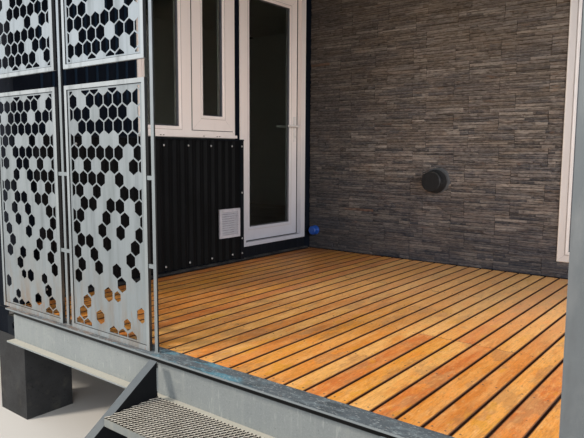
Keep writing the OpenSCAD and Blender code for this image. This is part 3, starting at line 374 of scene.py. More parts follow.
def split_ledgestone():
    """Split slate ledgestone in panels: thin strips, each with its own dark brown, grey, tan or
    rust tone, rough riven faces and no gloss."""
    paint = Paint("split slate ledgestone", IOR=1.5)
    paint.tones([(0.0, "#5a5554"), (0.12, "#8b827d"), (0.25, "#6f6b6c"), (0.36, "#a0968f"),
                 (0.48, "#7d746e"), (0.6, "#545255"), (0.7, "#ada298"), (0.8, "#877b74"),
                 (0.9, "#c4b7ac"), (0.975, "#a67c61")])
    broad = (1.8, 1, 0.5)
    paint.wear([("#84715f", 0.4, 240, 0.49, 0.57, broad, 8.0, 61.0),
                ("#5f5c62", 0.5, 260, 0.5, 0.58, broad, 8.0, 67.0),
                ("#b8a597", 0.45, 150, 0.55, 0.63, broad, 8.0, 71.0),
                ("#434145", 0.45, 170, 0.55, 0.63, broad, 8.0, 73.0)])
    seam = paint.clouds(9, 0.48, 0.64, (4, 1, 1), 6.0)
    paint.lay("#282423", 0.6, seam)
    paint.lay("#c4b9ae", 0.4, paint.clouds(8, 0.52, 0.68, (4.5, 1, 1), 5.0, 7.0))
    # painted shade and painted light: every strip is painted dark along its lower arris and pale along
    # the upper one
    crown = add(paint.tree, "ShaderNodeAttribute", attribute_name="crown")["Fac"]
    height = add(paint.tree, SPLIT, (paint.where,))[2]
    # painted shade and painted light: the foot of the wall is painted cooler and darker, the head
    # warmer
    arris, brow, low, high = (add(paint.tree, RANGE, ends)[0] for ends in (
        (crown, 0.32, 0.05), (crown, 0.68, 1.0), (height, 1.5, 0.7), (height, 1.5, 3.2)))
    paint.lay("#c9bdad", 0.5, brow, paint.clouds(30, 0.35, 0.6, shift=4.0))
    # painted shadow along the lower arris: black under some strips, hardly any under others
    paint.lay("#121010", 0.95, arris, paint.clouds(40, 0.36, 0.58, (2.2, 1, 0.5), 5.0, 77.0))
    paint.lay("#2a2522", 0.35, arris)
    paint.lay("#9a7358", 0.4, paint.clouds(60, 0.6, 0.72, (2, 1, 0.5), 7.0, 9.0))
    paint.lay("#2a3344", 0.6, low)
    paint.lay("#6a5330", 0.5, high)
    # painted shade: darkened towards the corner by the door
    paint.lay("#17181c", 0.55, paint.between(0, -0.4, 0.15, 1.0))
    return paint.finish(seam, 0.75, 0.95, paint.clouds(4, 0.2, 0.8, (6, 1, 1), 8.0, 2.0), 2.2)


def cast_concrete():
    """Cast concrete under a bitumen coat: near black, blotchy, with small blow holes and dust."""
    paint = Paint("cast concrete, bitumen coat", "#2b2d30", IOR=1.5)
    blotch = paint.clouds(150, 0.35, 0.7, detail=8.0)
    paint.lay("#1e1f21", 0.7, blotch)
    paint.wear([("#5b574f", 0.5, 90, 0.56, 0.78, EVEN, 9.0, 5.0),
                ("#101112", 0.7, 12, 0.66, 0.7, EVEN, 1.0, 3.0)])
    return paint.finish(blotch, 0.8, 0.95, paint.clouds(4, 0.3, 0.7, detail=3.0), 0.8)


def plain_sheet(name, base, shadow, rough, size, depth=0.1, **values):
    """A plain board or moulding: one colour with faint handling marks over a fine grain."""
    paint = Paint(name, base, IOR=1.5, **values)
    marks = paint.clouds(size, 0.4, 0.72, detail=6.0)
    paint.lay(shadow, 0.45, marks)
    return paint.finish(marks, *rough, paint.clouds(3, 0.2, 0.8, detail=2.0), depth)


MATERIALS = {"pier_concrete": cast_concrete(), "split_stone": split_ledgestone(),
             "white_frame": white_upvc(), "clear_glass": sealed_glass(),
             "deck_timber": oiled_hardwood()}
for slot, name, base, dark, pale, rough, more in (
        # steel of the two modules, sprayed blue black: nearly flat, with a dull shine on the roof
        ("casting_paint", "container paint on cast steel", "#161c24", "#0f1319", "#2f3743",
         (0.65, 0.85), {"chips": ("#6b4a35", 1.0), "gloss": 0.08}),
        ("frame_paint", "container paint on frame steel", "#121720", "#0c1016", "#262d38",
         (0.6, 0.8), {"streak": 0.12, "chips": ("#6b4a35", 0.6), "scuff": 0.2, "gloss": 0.03}),
        ("chassis_paint", "chassis black on steel", "#26282b", "#191a1c", "#4a4743", (0.6, 0.8), {}),
        ("wall_paint", "container paint on corrugated steel", "#0f151f", "#090d15", "#1e2634",
         (0.6, 0.8), {"dust": ("#5d5c59", 0.25), "streak": 0.18, "scuff": 0.25, "gloss": 0.06,
                      "extra": fluted_sheet}),
        ("roof_paint", "container paint on roof steel", "#2f3a47", "#232c36", "#596470",
         (0.38, 0.6), {"dust": ("#6f6f6b", 0.3)}),
        # powder coat on fluted cladding and folded trims: near black, even and satin
        ("cladding_paint", "powder coat on fluted steel, black", "#0e0f11", "#08090a", "#222226",
         (0.45, 0.6), {"dust": ("#5d5853", 0.3), "scuff": 0.2, "gloss": 0.08}),
        ("trim_paint", "powder coat on folded trim, black", "#12151b", "#0b0d11", "#2f3540",
         (0.4, 0.55), {"dust": ("#7f7b76", 0.45), "scuff": 0.2, "gloss": 0.1}),
        # stove enamel: black and matt
        ("flue_black", "stove enamel on flue steel, black", "#1c1d20", "#101113", "#3b3c40",
         (0.55, 0.7), {}),
        # steel of the deck: blue grey, chalky and dusty, its top flange trodden
        ("beam_paint", "deck steel paint, blue grey", "#8f9698", "#7d8589", "#a9adab",
         (0.5, 0.7), {"dust": ("#b9b5a6", 0.5), "streak": 0.22, "chips": ("#5e503f", 0.5),
                      "scuff": 0.4, "gloss": 0.2, "extra": trodden_flange}),
        ("joist_paint", "joist primer, grey", "#6b7479", "#555d62", "#83888a", (0.6, 0.75), {}),
        # post and screens: satin greys, stained by rain and chipped to rust
        ("post_paint", "post paint, pale blue grey", "#6e757a", "#62696e", "#878e91", (0.45, 0.6),
         {"streak": 0.2, "chips": ("#4f4a45", 0.7), "scuff": 0.3, "extra": handled_post}),
        ("screen_paint", "screen paint on cut sheet, light grey", "#98a1a8", "#868f96", "#b0b7bc",
         (0.4, 0.6), {"streak": 0.2, "chips": ("#7a5a3c", 0.4), "scuff": 0.3, "gloss": 0.3,
                      "extra": weathered_screen}),
        # stair: dark stringers with painted light and shade, grey flat bars, and expanded steel
        # with its strands worn and painted light on top
        ("stringer_paint", "stringer paint, dark blue grey", "#333a42", "#242a31", "#565f66",
         (0.5, 0.7), {"chips": ("#5e503f", 0.6), "gloss": 0.15, "extra": stair_steel}),
        ("tread_steel", "tread paint on flat bar, grey", "#878c8b", "#656b6d", "#aaa697",
         (0.5, 0.7), {"dust": ("#a39c86", 0.6), "chips": ("#6b5138", 1.0)}),
        ("tread_strands", "expanded steel, worn on top", "#fbf6e8", "#d8d3c6", "#ffffff",
         (0.5, 0.7), {"dust": ("#cfc6b8", 0.6), "chips": ("#6b5138", 1.0), "extra": raised_strands})):
    MATERIALS[slot] = painted_steel(name, base, dark, pale, rough, **more)
for slot, *look in (
        # inside, seen through the glass: satin ply and dead matt emulsion
        ("floor_ply", "sealed floor ply", "#9c8465", "#7c6549", (0.45, 0.65), 240),
        ("lining_board", "emulsion on lining board", "#dedad2", "#cbc6bd", (0.7, 0.85), 400),
        # moulded and coated fittings: smooth, with a soft shine
        ("vent_plastic", "moulded ABS grille, white", "#b9b7bf", "#918e97", (0.4, 0.55), 40, 0.05),
        ("lever_white", "powder coat on cast lever, white", "#ebe6e2", "#cfc8c2", (0.3, 0.4), 30, 0.03),
        ("blind_slats", "lacquered blind slats, ivory", "#d9d3c8", "#c2baad", (0.4, 0.5), 200, 0.03),
        ("inlet_blue", "moulded plastic cap, blue", "#12479c", "#0d3678", (0.3, 0.45), 30, 0.03)):
    MATERIALS[slot] = plain_sheet(*look)
# EPDM glazing gasket: matt black, slightly dusty
GASKET = plain_sheet("EPDM gasket, black", "#17181a", "#2b2b2c", (0.6, 0.75), 30, 0.03)
# dirt that has gathered in the mitre of a welded frame corner
MITRE = plain_sheet("grime in a mitre", "#b5aca7", "#938b86", (0.6, 0.75), 20, 0.03)
# anodised spacer bar and grey glazing tape round the edge of a sealed unit
SPACER = plain_sheet("spacer bar and glazing tape, grey", "#4f5056", "#3b3c41", (0.5, 0.65), 30, 0.03)
# painted shadow: a dark grey strip in the corner between the rim and the cut sheet of a screen
RIM_SHADOW = plain_sheet("painted shadow in the corner of a rim", "#2b2c2e", "#3d3c3a", (0.7, 0.85), 25, 0.2)
# zinc-plated screws, bright but dulled
SCREW = plain_sheet("zinc-plated screw, dulled", "#b9babb", "#8b8c8c", (0.35, 0.55), 8, 0.02,
                    Metallic=0.6)
# stainless deck screws, brown with oil and dirt
DECK_SCREW = plain_sheet("stainless deck screw, oiled over", "#7c6450", "#54402f", (0.4, 0.6), 8, 0.02)
# cement mortar, close to the stone in tone
MORTAR = plain_sheet("cement mortar", "#585a5d", "#45464a", (0.8, 0.95), 30, 1.5)
# dark adhesive that shows in the open joints of the stone
ADHESIVE = plain_sheet("tile adhesive, dark", "#2d2a29", "#1f1d1c", (0.85, 0.95), 60, 1.0)
# silicone sealant: off-white and slightly glossy
SEALANT = plain_sheet("silicone sealant, off-white", "#ece2d8", "#cbc2b8", (0.35, 0.5), 20, 0.1)

for row in frame["record"]["subparts"]:
    owner = frame["nodes"][row["node"]]
    if not owner.data.materials:
        owner.data.materials.append(None)
    for place in owner.material_slots:
        place.material = MATERIALS[row["material_slot"]]

# Meshes


def put(name, data):
    """A new object in the scene."""
    made = bpy.data.objects.new(name, data)
    bpy.context.scene.collection.objects.link(made)
    return made


def keep(name, mesh, body=CABIN, stands_for=()):
    """Puts a finished mesh in the scene, riding on its body."""
    piece = put(name, mesh)
    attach(piece, body)
    if stands_for:
        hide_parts(*stands_for)


def shade_smooth(mesh, angle):
    """Smooth faces, with edges sharper than an angle in degrees kept sharp."""
    mesh.polygons.foreach_set("use_smooth", [True] * len(mesh.polygons))
    mesh.set_sharp_from_angle(angle=math.radians(angle))


def solid_mesh(name, shape, material, bevel=0.0, smooth=None):
    """A mesh from a bmesh: edges bevelled in millimetres, normals out, smooth under an angle."""
    if bevel:
        sharp = [e for e in shape.edges if len(e.link_faces) == 2 and e.calc_face_angle(0) > 0.6]
        bmesh.ops.bevel(shape, geom=sharp, offset=bevel * MM, segments=2, profile=0.5, affect="EDGES",
                        clamp_overlap=True)
    bmesh.ops.recalc_face_normals(shape, faces=shape.faces)
    mesh = bpy.data.meshes.new(name)
    shape.to_mesh(mesh)
    shape.free()
    mesh.materials.append(material)
    if smooth:
        shade_smooth(mesh, smooth)
    return mesh


def block(shape, x0, x1, y0, y1, z0, z1):
    """Adds a box, in site millimetres."""
    low, high = at(x0, y0, z0), at(x1, y1, z1)
    spread = Matrix.Diagonal((*(high - low), 1.0))
    bmesh.ops.create_cube(shape, size=1.0, matrix=Matrix.Translation((low + high) / 2) @ spread)


class Wall:
    """A wall face: u runs along it, v up and n out of it, all in site millimetres."""

    def __init__(self, origin, along, out):
        self.origin, self.along, self.out = Vector(origin), Vector(along), Vector(out)

    def at(self, u, v, n):
        return at(*(self.origin + self.along * u + Vector((0, 0, v)) + self.out * n))


PORCH_SIDE = Wall((0, 0, 0), (0, 1, 0), (1, 0, 0))
FRONT_SIDE = Wall((0, 100, 0), (1, 0, 0), (0, -1, 0))
BACK_SIDE = Wall((0, site_box("back_wall")[1].y + 8, 0), (1, 0, 0), (0, 1, 0))


def band(shape, first, last):
    """Joins two like loops of corners by faces all the way round."""
    for i in range(len(first)):
        j = (i + 1) % len(first)
        shape.faces.new((first[i], first[j], last[j], last[i]))


def prism(shape, first, last):
    """A band between two loops of corners, closed at both ends."""
    band(shape, first, last)
    shape.faces.new(first)
    shape.faces.new(last[::-1])


def corners(rect):
    """The corners of a rectangle on a wall, each with the way inwards along u and v."""
    u0, u1, v0, v1 = rect
    return (u0, v0, 1, 1), (u1, v0, -1, 1), (u1, v1, -1, -1), (u0, v1, 1, -1)


def grown(rect, left, right=None, low=None, high=None):
    """A rectangle with its edges moved outwards, all by the first distance if no other is given."""
    u0, u1, v0, v1 = rect
    right, low, high = (left if d is None else d for d in (right, low, high))
    return u0 - left, u1 + right, v0 - low, v1 + high


def mitred_ring(shape, wall, rect, profile, gap=0.0):
    """Sweeps a closed profile round a rectangle, mitred at its corners.
    A profile point is (distance in from the edge, distance out of the wall)."""
    places = corners(rect)
    for a, b in zip(places, places[1:] + places[:1]):
        run = Vector((b[0] - a[0], b[1] - a[1])).normalized() * gap
        first, last = ([shape.verts.new(wall.at(end[0] + end[2] * d + sign * run.x,
                                                end[1] + end[3] * d + sign * run.y, n))
                        for d, n in profile] for end, sign in ((a, 1), (b, -1)))
        prism(shape, first, last)


# Node trees that repeat things


def new_tree(name, *inputs):
    """A geometry tree with Geometry and Material inputs and the named ones, and what they give."""
    kinds = {"Geometry": "Geometry", "Item": "Object", "Material": "Material"}
    tree = bpy.data.node_groups.new(name, "GeometryNodeTree")
    for label in ("Geometry", *inputs, "Material"):
        kind = "NodeSocket" + kinds.get(label, "Float")
        tree.interface.new_socket(label, in_out="INPUT", socket_type=kind)
    tree.interface.new_socket("Geometry", in_out="OUTPUT", socket_type="NodeSocketGeometry")
    return tree, add(tree, "NodeGroupInput")


def end_tree(tree, geometry, material):
    """Makes the copies real, gives them their material and ends the tree."""
    real = add(tree, REAL, (geometry,))[0]
    made = add(tree, "GeometryNodeSetMaterial", {"Geometry": real, "Material": material})[0]
    add(tree, "NodeGroupOutput", (made,))
    return tree


def board_tree():
    """A board on each point: its length is the point's own, its width and thickness are inputs."""
    tree, given = new_tree("boards", "Board width", "Board thickness")
    length, width = (add(tree, MARK, (name,), data_type="FLOAT")[0] for name in ("length", "width"))
    across = add(tree, MATH, (width, given["Board width"]), operation="MULTIPLY")[0]
    size = add(tree, JOIN, (across, length, given["Board thickness"]))[0]
    cube = add(tree, CUBE, (EVEN,))[0]
    boards = add(tree, COPIES, {"Points": given["Geometry"], "Instance": cube, "Scale": size})[0]
    return end_tree(tree, boards, given["Material"])


def ledge_tree():
    """A riven stone on each point: a fine block scaled to the point's size, its face pushed about."""
    tree, given = new_tree("ledgestones", "Face relief", "Relief size", "Arris wave", "Seed")
    place = add(tree, "GeometryNodeInputPosition")[0]
    part = add(tree, SPLIT, (place,))
    front = add(tree, MATH, (0.5, part[1]), operation="SUBTRACT")[0]
    crown = add(tree, MATH, (part[2], 0.5), operation="ADD")[0]
    stone = add(tree, CUBE, (EVEN, 7, 2, 3))[0]
    for name, value in (("front", front), ("crown", crown)):
        marked = {"Geometry": stone, "Name": name, "Value": value}
        stone = add(tree, "GeometryNodeStoreNamedAttribute", marked,
                    data_type="FLOAT", domain="POINT")[0]
    size, turn = (add(tree, MARK, (name,), data_type="FLOAT_VECTOR")[0] for name in ("size", "turn"))
    shade, front = (add(tree, MARK, (name,), data_type="FLOAT")[0] for name in ("shade", "front"))
    stones = add(tree, COPIES, {"Points": given["Geometry"], "Instance": stone, "Rotation": turn,
                                "Scale": size})[0]
    real = add(tree, REAL, (stones,))[0]
    # each stone has its own place in the noise, which is drawn out along it
    own = add(tree, MATH, (shade, 90.0, given["Seed"]), operation="MULTIPLY_ADD")[0]
    other = add(tree, MATH, (own, 40.0), operation="ADD")[0]
    scale = add(tree, MATH, (1.0, given["Relief size"]), operation="DIVIDE")[0]
    pressed = add(tree, VECTOR_MATH, (place, (0.35, 1.0, 1.0)), operation="MULTIPLY")[0]
    relief, sway = (add(tree, NOISE, {"Vector": pressed, "W": seed, "Scale": scale, "Detail": detail},
                        noise_dimensions="4D")["Fac"] for seed, detail in ((own, 3.0), (other, 2.0)))
    push = add(tree, MATH, (relief, given["Face relief"]), operation="MULTIPLY")[0]
    front_push = add(tree, MATH, (push, front), operation="MULTIPLY")[0]
    rise = add(tree, MATH, (sway, -0.5), operation="ADD")[0]
    wave = add(tree, MATH, (rise, given["Arris wave"]), operation="MULTIPLY")[0]
    offset = add(tree, JOIN, (0.0, front_push, wave))[0]
    moved = add(tree, "GeometryNodeSetPosition", {"Geometry": real, "Offset": offset})[0]
    return end_tree(tree, moved, given["Material"])


def repeat_tree():
    """One small item on each point, turned as the point says."""
    tree, given = new_tree("repeated item", "Item")
    item = add(tree, "GeometryNodeObjectInfo", {"Object": given["Item"]})["Geometry"]
    turn = add(tree, MARK, ("turn",), data_type="FLOAT_VECTOR")[0]
    copies = add(tree, COPIES, {"Points": given["Geometry"], "Instance": item, "Rotation": turn})[0]
    return end_tree(tree, copies, given["Material"])


def expanded_tree():
    """Expanded metal: slanting strands on a grid, leaning left and right in turn."""
    tree, given = new_tree("expanded metal", "Length", "Depth", "Long way", "Short way",
                           "Strand width", "Strand thickness")
    place = add(tree, SPLIT, (add(tree, "GeometryNodeInputPosition")[0],))
    count, step, reach, number = [], [], [], []
    for axis, (span, way) in enumerate((("Length", "Short way"), ("Depth", "Long way"))):
        pitch = add(tree, MATH, (given[way], 0.5), operation="MULTIPLY")[0]
        cells = add(tree, MATH, (given[span], pitch), operation="DIVIDE")[0]
        count.append(add(tree, MATH, (cells,), operation="ROUND")[0])
        step.append(add(tree, MATH, (given[span], count[axis]), operation="DIVIDE")[0])
        reach.append(add(tree, MATH, (given[span], step[axis]), operation="SUBTRACT")[0])
        half = add(tree, MATH, (reach[axis], 0.5), operation="MULTIPLY")[0]
        away = add(tree, MATH, (place[axis], half), operation="ADD")[0]
        cell = add(tree, MATH, (away, step[axis]), operation="DIVIDE")[0]
        number.append(add(tree, MATH, (cell,), operation="ROUND")[0])
    grid = add(tree, "GeometryNodeMeshGrid", reach + count)[0]
    # a strand leans one way on even places and the other way on odd ones, and is tipped up
    total = add(tree, MATH, number, operation="ADD")[0]
    odd = add(tree, MATH, (total, 2.0), operation="FLOORED_MODULO")[0]
    side = add(tree, MATH, (odd, -2.0, 1.0), operation="MULTIPLY_ADD")[0]
    lean = add(tree, MATH, step[::-1], operation="ARCTAN2")[0]
    swing = add(tree, MATH, (lean, side), operation="MULTIPLY")[0]
    turn = add(tree, JOIN, (0.5, 0.0, swing))[0]
    diagonal = add(tree, VECTOR_MATH, (add(tree, JOIN, step)[0],), operation="LENGTH")["Value"]
    run = add(tree, MATH, (diagonal, 1.12), operation="MULTIPLY")[0]
    size = add(tree, JOIN, (run, given["Strand width"], given["Strand thickness"]))[0]
    strand = add(tree, CUBE, (size,))[0]
    strands = add(tree, COPIES, {"Points": grid, "Instance": strand, "Rotation": turn})[0]
    treads = add(tree, COPIES, {"Points": given["Geometry"], "Instance": strands})[0]
    return end_tree(tree, treads, given["Material"])


def points(places, **marks):
    """A mesh of loose points with a value for each in every mark."""
    mesh = bpy.data.meshes.new("points")
    mesh.from_pydata([tuple(p) for p in places], [], [])
    for name, values in marks.items():
        vector = hasattr(values[0], "__len__")
        mark = mesh.attributes.new(name, "FLOAT_VECTOR" if vector else "FLOAT", "POINT")
        mark.data.foreach_set("vector" if vector else "value",
                              [c for v in values for c in v] if vector else list(values))
    return mesh


def grow(name, tree, mesh, bevel=0.0, **inputs):
    """Runs a tree on a mesh of points and gives the result as a plain mesh."""
    holder = put(name + ".holder", mesh)
    modifier = holder.modifiers.new("grow", "NODES")
    modifier.node_group = tree
    wanted = {label.replace("_", " "): value for label, value in inputs.items()}
    for item in tree.interface.items_tree:
        if item.in_out == "INPUT" and item.name in wanted:
            modifier[item.identifier] = wanted.pop(item.name)
    assert not wanted, wanted
    if bevel:
        edge = holder.modifiers.new("edge", "BEVEL")
        edge.width, edge.segments, edge.limit_method = bevel * MM, 2, "ANGLE"
    graph = bpy.context.evaluated_depsgraph_get()
    made = bpy.data.meshes.new_from_object(holder.evaluated_get(graph), preserve_all_data_layers=True,
                                           depsgraph=graph)
    holder.modifiers.clear()
    bpy.data.objects.remove(holder)
    made.name = name
    return made


def turned_item(name, sides, profile):
    """A small round item: a profile of (radius, height) in millimetres turned about Z."""
    shape, rings = bmesh.new(), []
    for r, z in profile:
        turns = [2 * math.pi * k / sides for k in range(sides if r else 1)]
        rings.append([shape.verts.new((r * MM * math.cos(a), r * MM * math.sin(a), z * MM))
                      for a in turns])
    for low, high in zip(rings, rings[1:]):
        for k in range(sides):
            j = (k + 1) % sides
            corner = [low[k % len(low)], low[j % len(low)], high[j % len(high)], high[k % len(high)]]
            shape.faces.new(list(dict.fromkeys(corner)))
    return bpy.data.objects.new(name, solid_mesh(name, shape, None))


def repeated(name, sides, profile, places, turn, material):
    """Sets a small round item on many places of the cabin and keeps them as one piece."""
    turns = turn if isinstance(turn, list) else [turn] * len(places)
    item = turned_item(name + ".item", sides, profile)
    made = grow(name, REPEAT, points(places, turn=turns), Item=item, Material=material)
    shade_smooth(made, 35)
    keep(name, made)


BOARDS, LEDGES, REPEAT, EXPANDED = board_tree(), ledge_tree(), repeat_tree(), expanded_tree()
TO_RIGHT, TO_FRONT, UPWARD = (0, math.pi / 2, 0), (math.pi / 2, 0, 0), (0, 0, 0)

# Deck: single boards on the joists
deck_low, deck_high = site_box("deck_boards")
BOARD_WIDTH, BOARD_THICK, BOARD_MIDDLE, HALF_GAP, BUTT_GAP = 90.0, 27.4, -14, 4.6, 1.5
SCREW_IN, SCREW_TOP, PAST_JOINT, NARROW, FIRST_JOIST, JOIST_PITCH = 18, -0.9, 12, 60, 127, 456.5
joists = [FIRST_JOIST + k * JOIST_PITCH for k in range(7)]
dice = random.Random(11)
boards, screw_spots = [], []
gaps = [deck_low.x - HALF_GAP, *(FIRST_GAP + k * BOARD_PITCH for k in range(31)),
        deck_high.x + HALF_GAP]
for left_gap, right_gap in zip(gaps, gaps[1:]):
    x0, x1 = left_gap + HALF_GAP, right_gap - HALF_GAP
    joint = joists[2] if 2000 < x0 < 2500 else dice.choice((None, None, None, joists[4]))
    cuts = [deck_low.y] + ([joint] if joint else []) + [deck_high.y]
    for y0, y1 in zip(cuts, cuts[1:]):
        start = y0 + (BUTT_GAP if y0 != cuts[0] else dice.uniform(0, 3))
        end = y1 - (BUTT_GAP if y1 != cuts[-1] else dice.uniform(1, 5))
        spot = at((x0 + x1) / 2, (start + end) / 2, BOARD_MIDDLE - dice.uniform(0, 0.6))
        boards.append((spot, (end - start) * MM, (x1 - x0) / BOARD_WIDTH, dice.random()))
    for line in joists:
        for x in ((x0 + SCREW_IN, x1 - SCREW_IN) if x1 - x0 > NARROW else ((x0 + x1) / 2,)):
            screw_spots.append(at(x + dice.uniform(-2, 2), line + dice.uniform(-4, 4)
                                  + (PAST_JOINT if line == joint else 0), SCREW_TOP))
spots, lengths, widths, shades = zip(*boards)
laid = points(spots, length=lengths, width=widths, shade=shades)
keep("decking", grow("decking", BOARDS, laid, bevel=2.2, Board_width=BOARD_WIDTH * MM,
                     Board_thickness=BOARD_THICK * MM, Material=MATERIALS["deck_timber"]),
     stands_for=["deck_boards"])
repeated("deck_screws", 10, [(0, 0.2), (1.6, 0.2), (1.9, 1.0), (3.7, 1.1), (3.9, 0.6), (0, 0)],
         screw_spots, UPWARD, DECK_SCREW)

# Stone wall: panels of thin strips, with the hole for the tall glazing
STONE_FACE, STONE_BACK, BED = 2893.0, 2919.0, 2914
COURSE, PANEL, PANEL_JOINT, BOND = 132.0, 355.0, 1.3, (15, 260)
THINNEST, USUAL, THICKEST, SHORTEST = 10, 18, 33, 40
LEAST_LENGTH, LEAST_HEIGHT, GLAZING_GAP = 8, 3, 1
FLUE_X, FLUE_Z, FLUE_CLEAR = 1262.0, 660.0, 50.0
wall_low, wall_high = site_box("stone_cladding")
hole_low, hole_high = site_box("glazing_frame")
stone_dice = random.Random(5)
stones = []


def strip_heights(total):
    """Cuts the height of a course into strips."""
    heights = []
    while total > THICKEST:
        highest = min(THICKEST, total - THINNEST)
        heights.append(stone_dice.triangular(THINNEST, highest, USUAL))
        total -= heights[-1]
    return heights + [total]


def lay_stone(x0, x1, z0, z1, tone):
    """One stone, cut at the hole of the tall glazing and where the flue passes."""
    parts = [(x0, x1, z0, z1)]
    left, right, foot, head = grown((hole_low.x, hole_high.x, hole_low.z, hole_high.z),
                                    2 * GLAZING_GAP, low=GLAZING_GAP, high=GLAZING_GAP)
    if z1 > foot and z0 < head and x1 > left:
        a, b = max(x0, left), min(x1, right)
        parts = [(x0, a, z0, z1), (b, x1, z0, z1), (a, b, z0, min(z1, foot)),
                 (a, b, max(z0, head), z1)]
    for a, b, z0, z1 in parts:
        a, b = max(a, wall_low.x + 1), min(b, wall_high.x - 1)
        if b - a < LEAST_LENGTH or z1 - z0 < LEAST_HEIGHT:
            continue
        if (a < FLUE_X + FLUE_CLEAR and b > FLUE_X - FLUE_CLEAR
                and abs((z0 + z1) / 2 - FLUE_Z) < FLUE_CLEAR):
            lay_stone(a, FLUE_X - FLUE_CLEAR - 1, z0, z1, tone)
            lay_stone(FLUE_X + FLUE_CLEAR + 1, b, z0, z1, tone)
            continue
        depth = STONE_BACK - STONE_FACE - stone_dice.triangular(2.0, 16, 6)
        lift = stone_dice.uniform(-1, 1) * min(0.03, 2.2 / (b - a))
        turn = (stone_dice.uniform(-0.06, 0.06), lift,
                stone_dice.uniform(-1, 1) * min(0.02, 1.8 / (b - a)))
        stones.append((at((a + b) / 2, STONE_BACK - depth / 2, (z0 + z1) / 2),
                       ((b - a - 0.3) * MM, depth * MM, (z1 - z0 - 0.4) * MM), turn,
                       min(0.999, 0.8 * stone_dice.random() + 0.2 * tone)))


course, foot = 0, wall_low.z + 1
while foot < wall_high.z - 4:
    tall = min(COURSE, wall_high.z - foot)
    left = -stone_dice.uniform(0, 20) - BOND[course % 2]
    while left < wall_high.x:
        tone, z = stone_dice.random(), foot
        for h in strip_heights(tall):
            cuts = sorted(stone_dice.uniform(SHORTEST, PANEL - SHORTEST)
                          for _ in range(stone_dice.choice((1, 1, 2, 2))))
            run = [left + PANEL_JOINT] + [left + c for c in cuts] + [left + PANEL - PANEL_JOINT]
            for a, b in zip(run, run[1:]):
                lay_stone(a, b, z, z + h, tone)
            z += h
        left += PANEL
    foot += COURSE
    course += 1
middle = len(stones) // 2
for name, part, stands_for in (("lower_ledgestones", stones[:middle], ["stone_cladding"]),
                               ("upper_ledgestones", stones[middle:], ())):
    spots, sizes, turns, shades = zip(*part)
    laid = points(spots, size=sizes, turn=turns, shade=shades)
    keep(name, grow(name, LEDGES, laid, Face_relief=6.0 * MM, Relief_size=11 * MM, Arris_wave=7 * MM,
                    Seed=3.0, Material=MATERIALS["split_stone"]), stands_for=stands_for)
backing = bmesh.new()
left, right, foot, head = grown((hole_low.x, hole_high.x, hole_low.z, hole_high.z), GLAZING_GAP)
for x0, x1, z0, z1 in ((wall_low.x, left, wall_low.z, wall_high.z),
                       (right, wall_high.x, wall_low.z, wall_high.z),
                       (left, right, wall_low.z, foot), (left, right, head, wall_high.z)):
    block(backing, x0, x1, BED, wall_high.y, z0, z1)
keep("stone_backing", solid_mesh("stone_backing", backing, ADHESIVE))

# Mortar made good round the flue
patch, patch_dice, SPOKES = bmesh.new(), random.Random(2), 44
rim = [(97 + 5 * math.sin(2.1 * a + 1) + patch_dice.uniform(0, 9) + 16 * max(0, math.cos(a - 0.9)), a)
       for a in (2 * math.pi * k / SPOKES for k in range(SPOKES))]
section = ((1, 2902), (0.97, 2897), (0.82, 2894.5), (0.5, 2894.5), (0.5, 2902))
loops = [[patch.verts.new(at(FLUE_X + share * r * math.cos(a), y, FLUE_Z + share * r * math.sin(a)))
          for r, a in rim] for share, y in section]
for inner, outer in zip(loops, loops[1:] + loops[:1]):
    band(patch, inner, outer)
keep("flue_mortar", solid_mesh("flue_mortar", patch, MORTAR, smooth=50))

# Window and door furniture: beads, lips, seams, gaskets, mitre lines and sealant
WINDOW_SILL, WINDOW_HEAD, WINDOW_WIDTH, JAMB_GAP, CORNER_POST = 992.0, 2308.0, 929.0, 67, 94
FRAME_FACE, SILL, MULLION_LEFT, MULLION_RIGHT = 42, 22, 364, 484
SASH_LAP, SASH_FACE, SASH_PROUD = 10, 97, 8
TALL_FACE, JAMB_FACE, THRESHOLD, LEAF_FACE = 58, 62, 32, 100
BEAD = [(0, -23), (0, -2.5), (3, -2), (11, -4), (17, -13), (17, -23)]
SEAM = [(-14, -0.5), (-14, 0.5), (-11, 0.5), (-11, -0.5)]
LIP = [(-10, -0.5), (-10, 1.0), (-8.5, 2.0), (-3, 2.0), (-1, 0.6), (-1, -0.5)]
SPACER_STRIP = [(16, -23.5), (16, -12), (12, -5.4), (13.5, -5), (20.5, -14), (20.5, -23.5)]
INNER_BEAD = [(0, -47), (0, -66), (12, -64), (16, -56), (16, -47)]
LEAF_BACK_BEAD = [(0, -13.5), (0, -1), (10, -2), (15, -8), (15, -13.5)]
SASH_GASKET = [(0, -1), (0, 3.5), (4.5, 3.5), (4.5, -1)]
STOP_GASKET = [(-4, -44.5), (-4, -49.4), (5, -49.4), (7, -46), (3, -44.5)]
WALL_SEALANT = [(0, -12), (0, -6), (3, -2), (6, -0.5), (6, -12)]
STONE_SEALANT = [(0, -10), (0, 0), (3, 2.5), (7, 1.5), (7, -10)]
beads, gaskets, spacers, mitres, sealant = (bmesh.new() for _ in range(5))
leaf_beads, leaf_spacers, leaf_mitres, keyholes = (bmesh.new() for _ in range(4))


def glaze(beads, spacers, mitres, wall, rect, proud=0):
    """The bead, lip and seam round the glass in a frame, and the spacer bar behind its edge."""
    for shape, profile, gap in ((beads, BEAD, 0.3), (beads, LIP, 0.3), (mitres, SEAM, 0.1),
                                (spacers, SPACER_STRIP, 0)):
        mitred_ring(shape, wall, rect, [(d, n + proud) for d, n in profile], gap)


def mitre_lines(shape, wall, rect, width, n=0):
    """Fine lines of grime where the welded corners of a frame meet, 0.7 mm wide."""
    for u, v, su, sv in corners(rect):
        line = [(u + su * (d - side * 0.7), v + sv * (d + side * 0.7))
                for d, side in ((1, -0.35), (width - 1, -0.35), (width - 1, 0.35), (1, 0.35))]
        low, high = ([shape.verts.new(wall.at(a, b, n + level)) for a, b in line]
                     for level in (-0.6, 0.15))
        prism(shape, low, high)


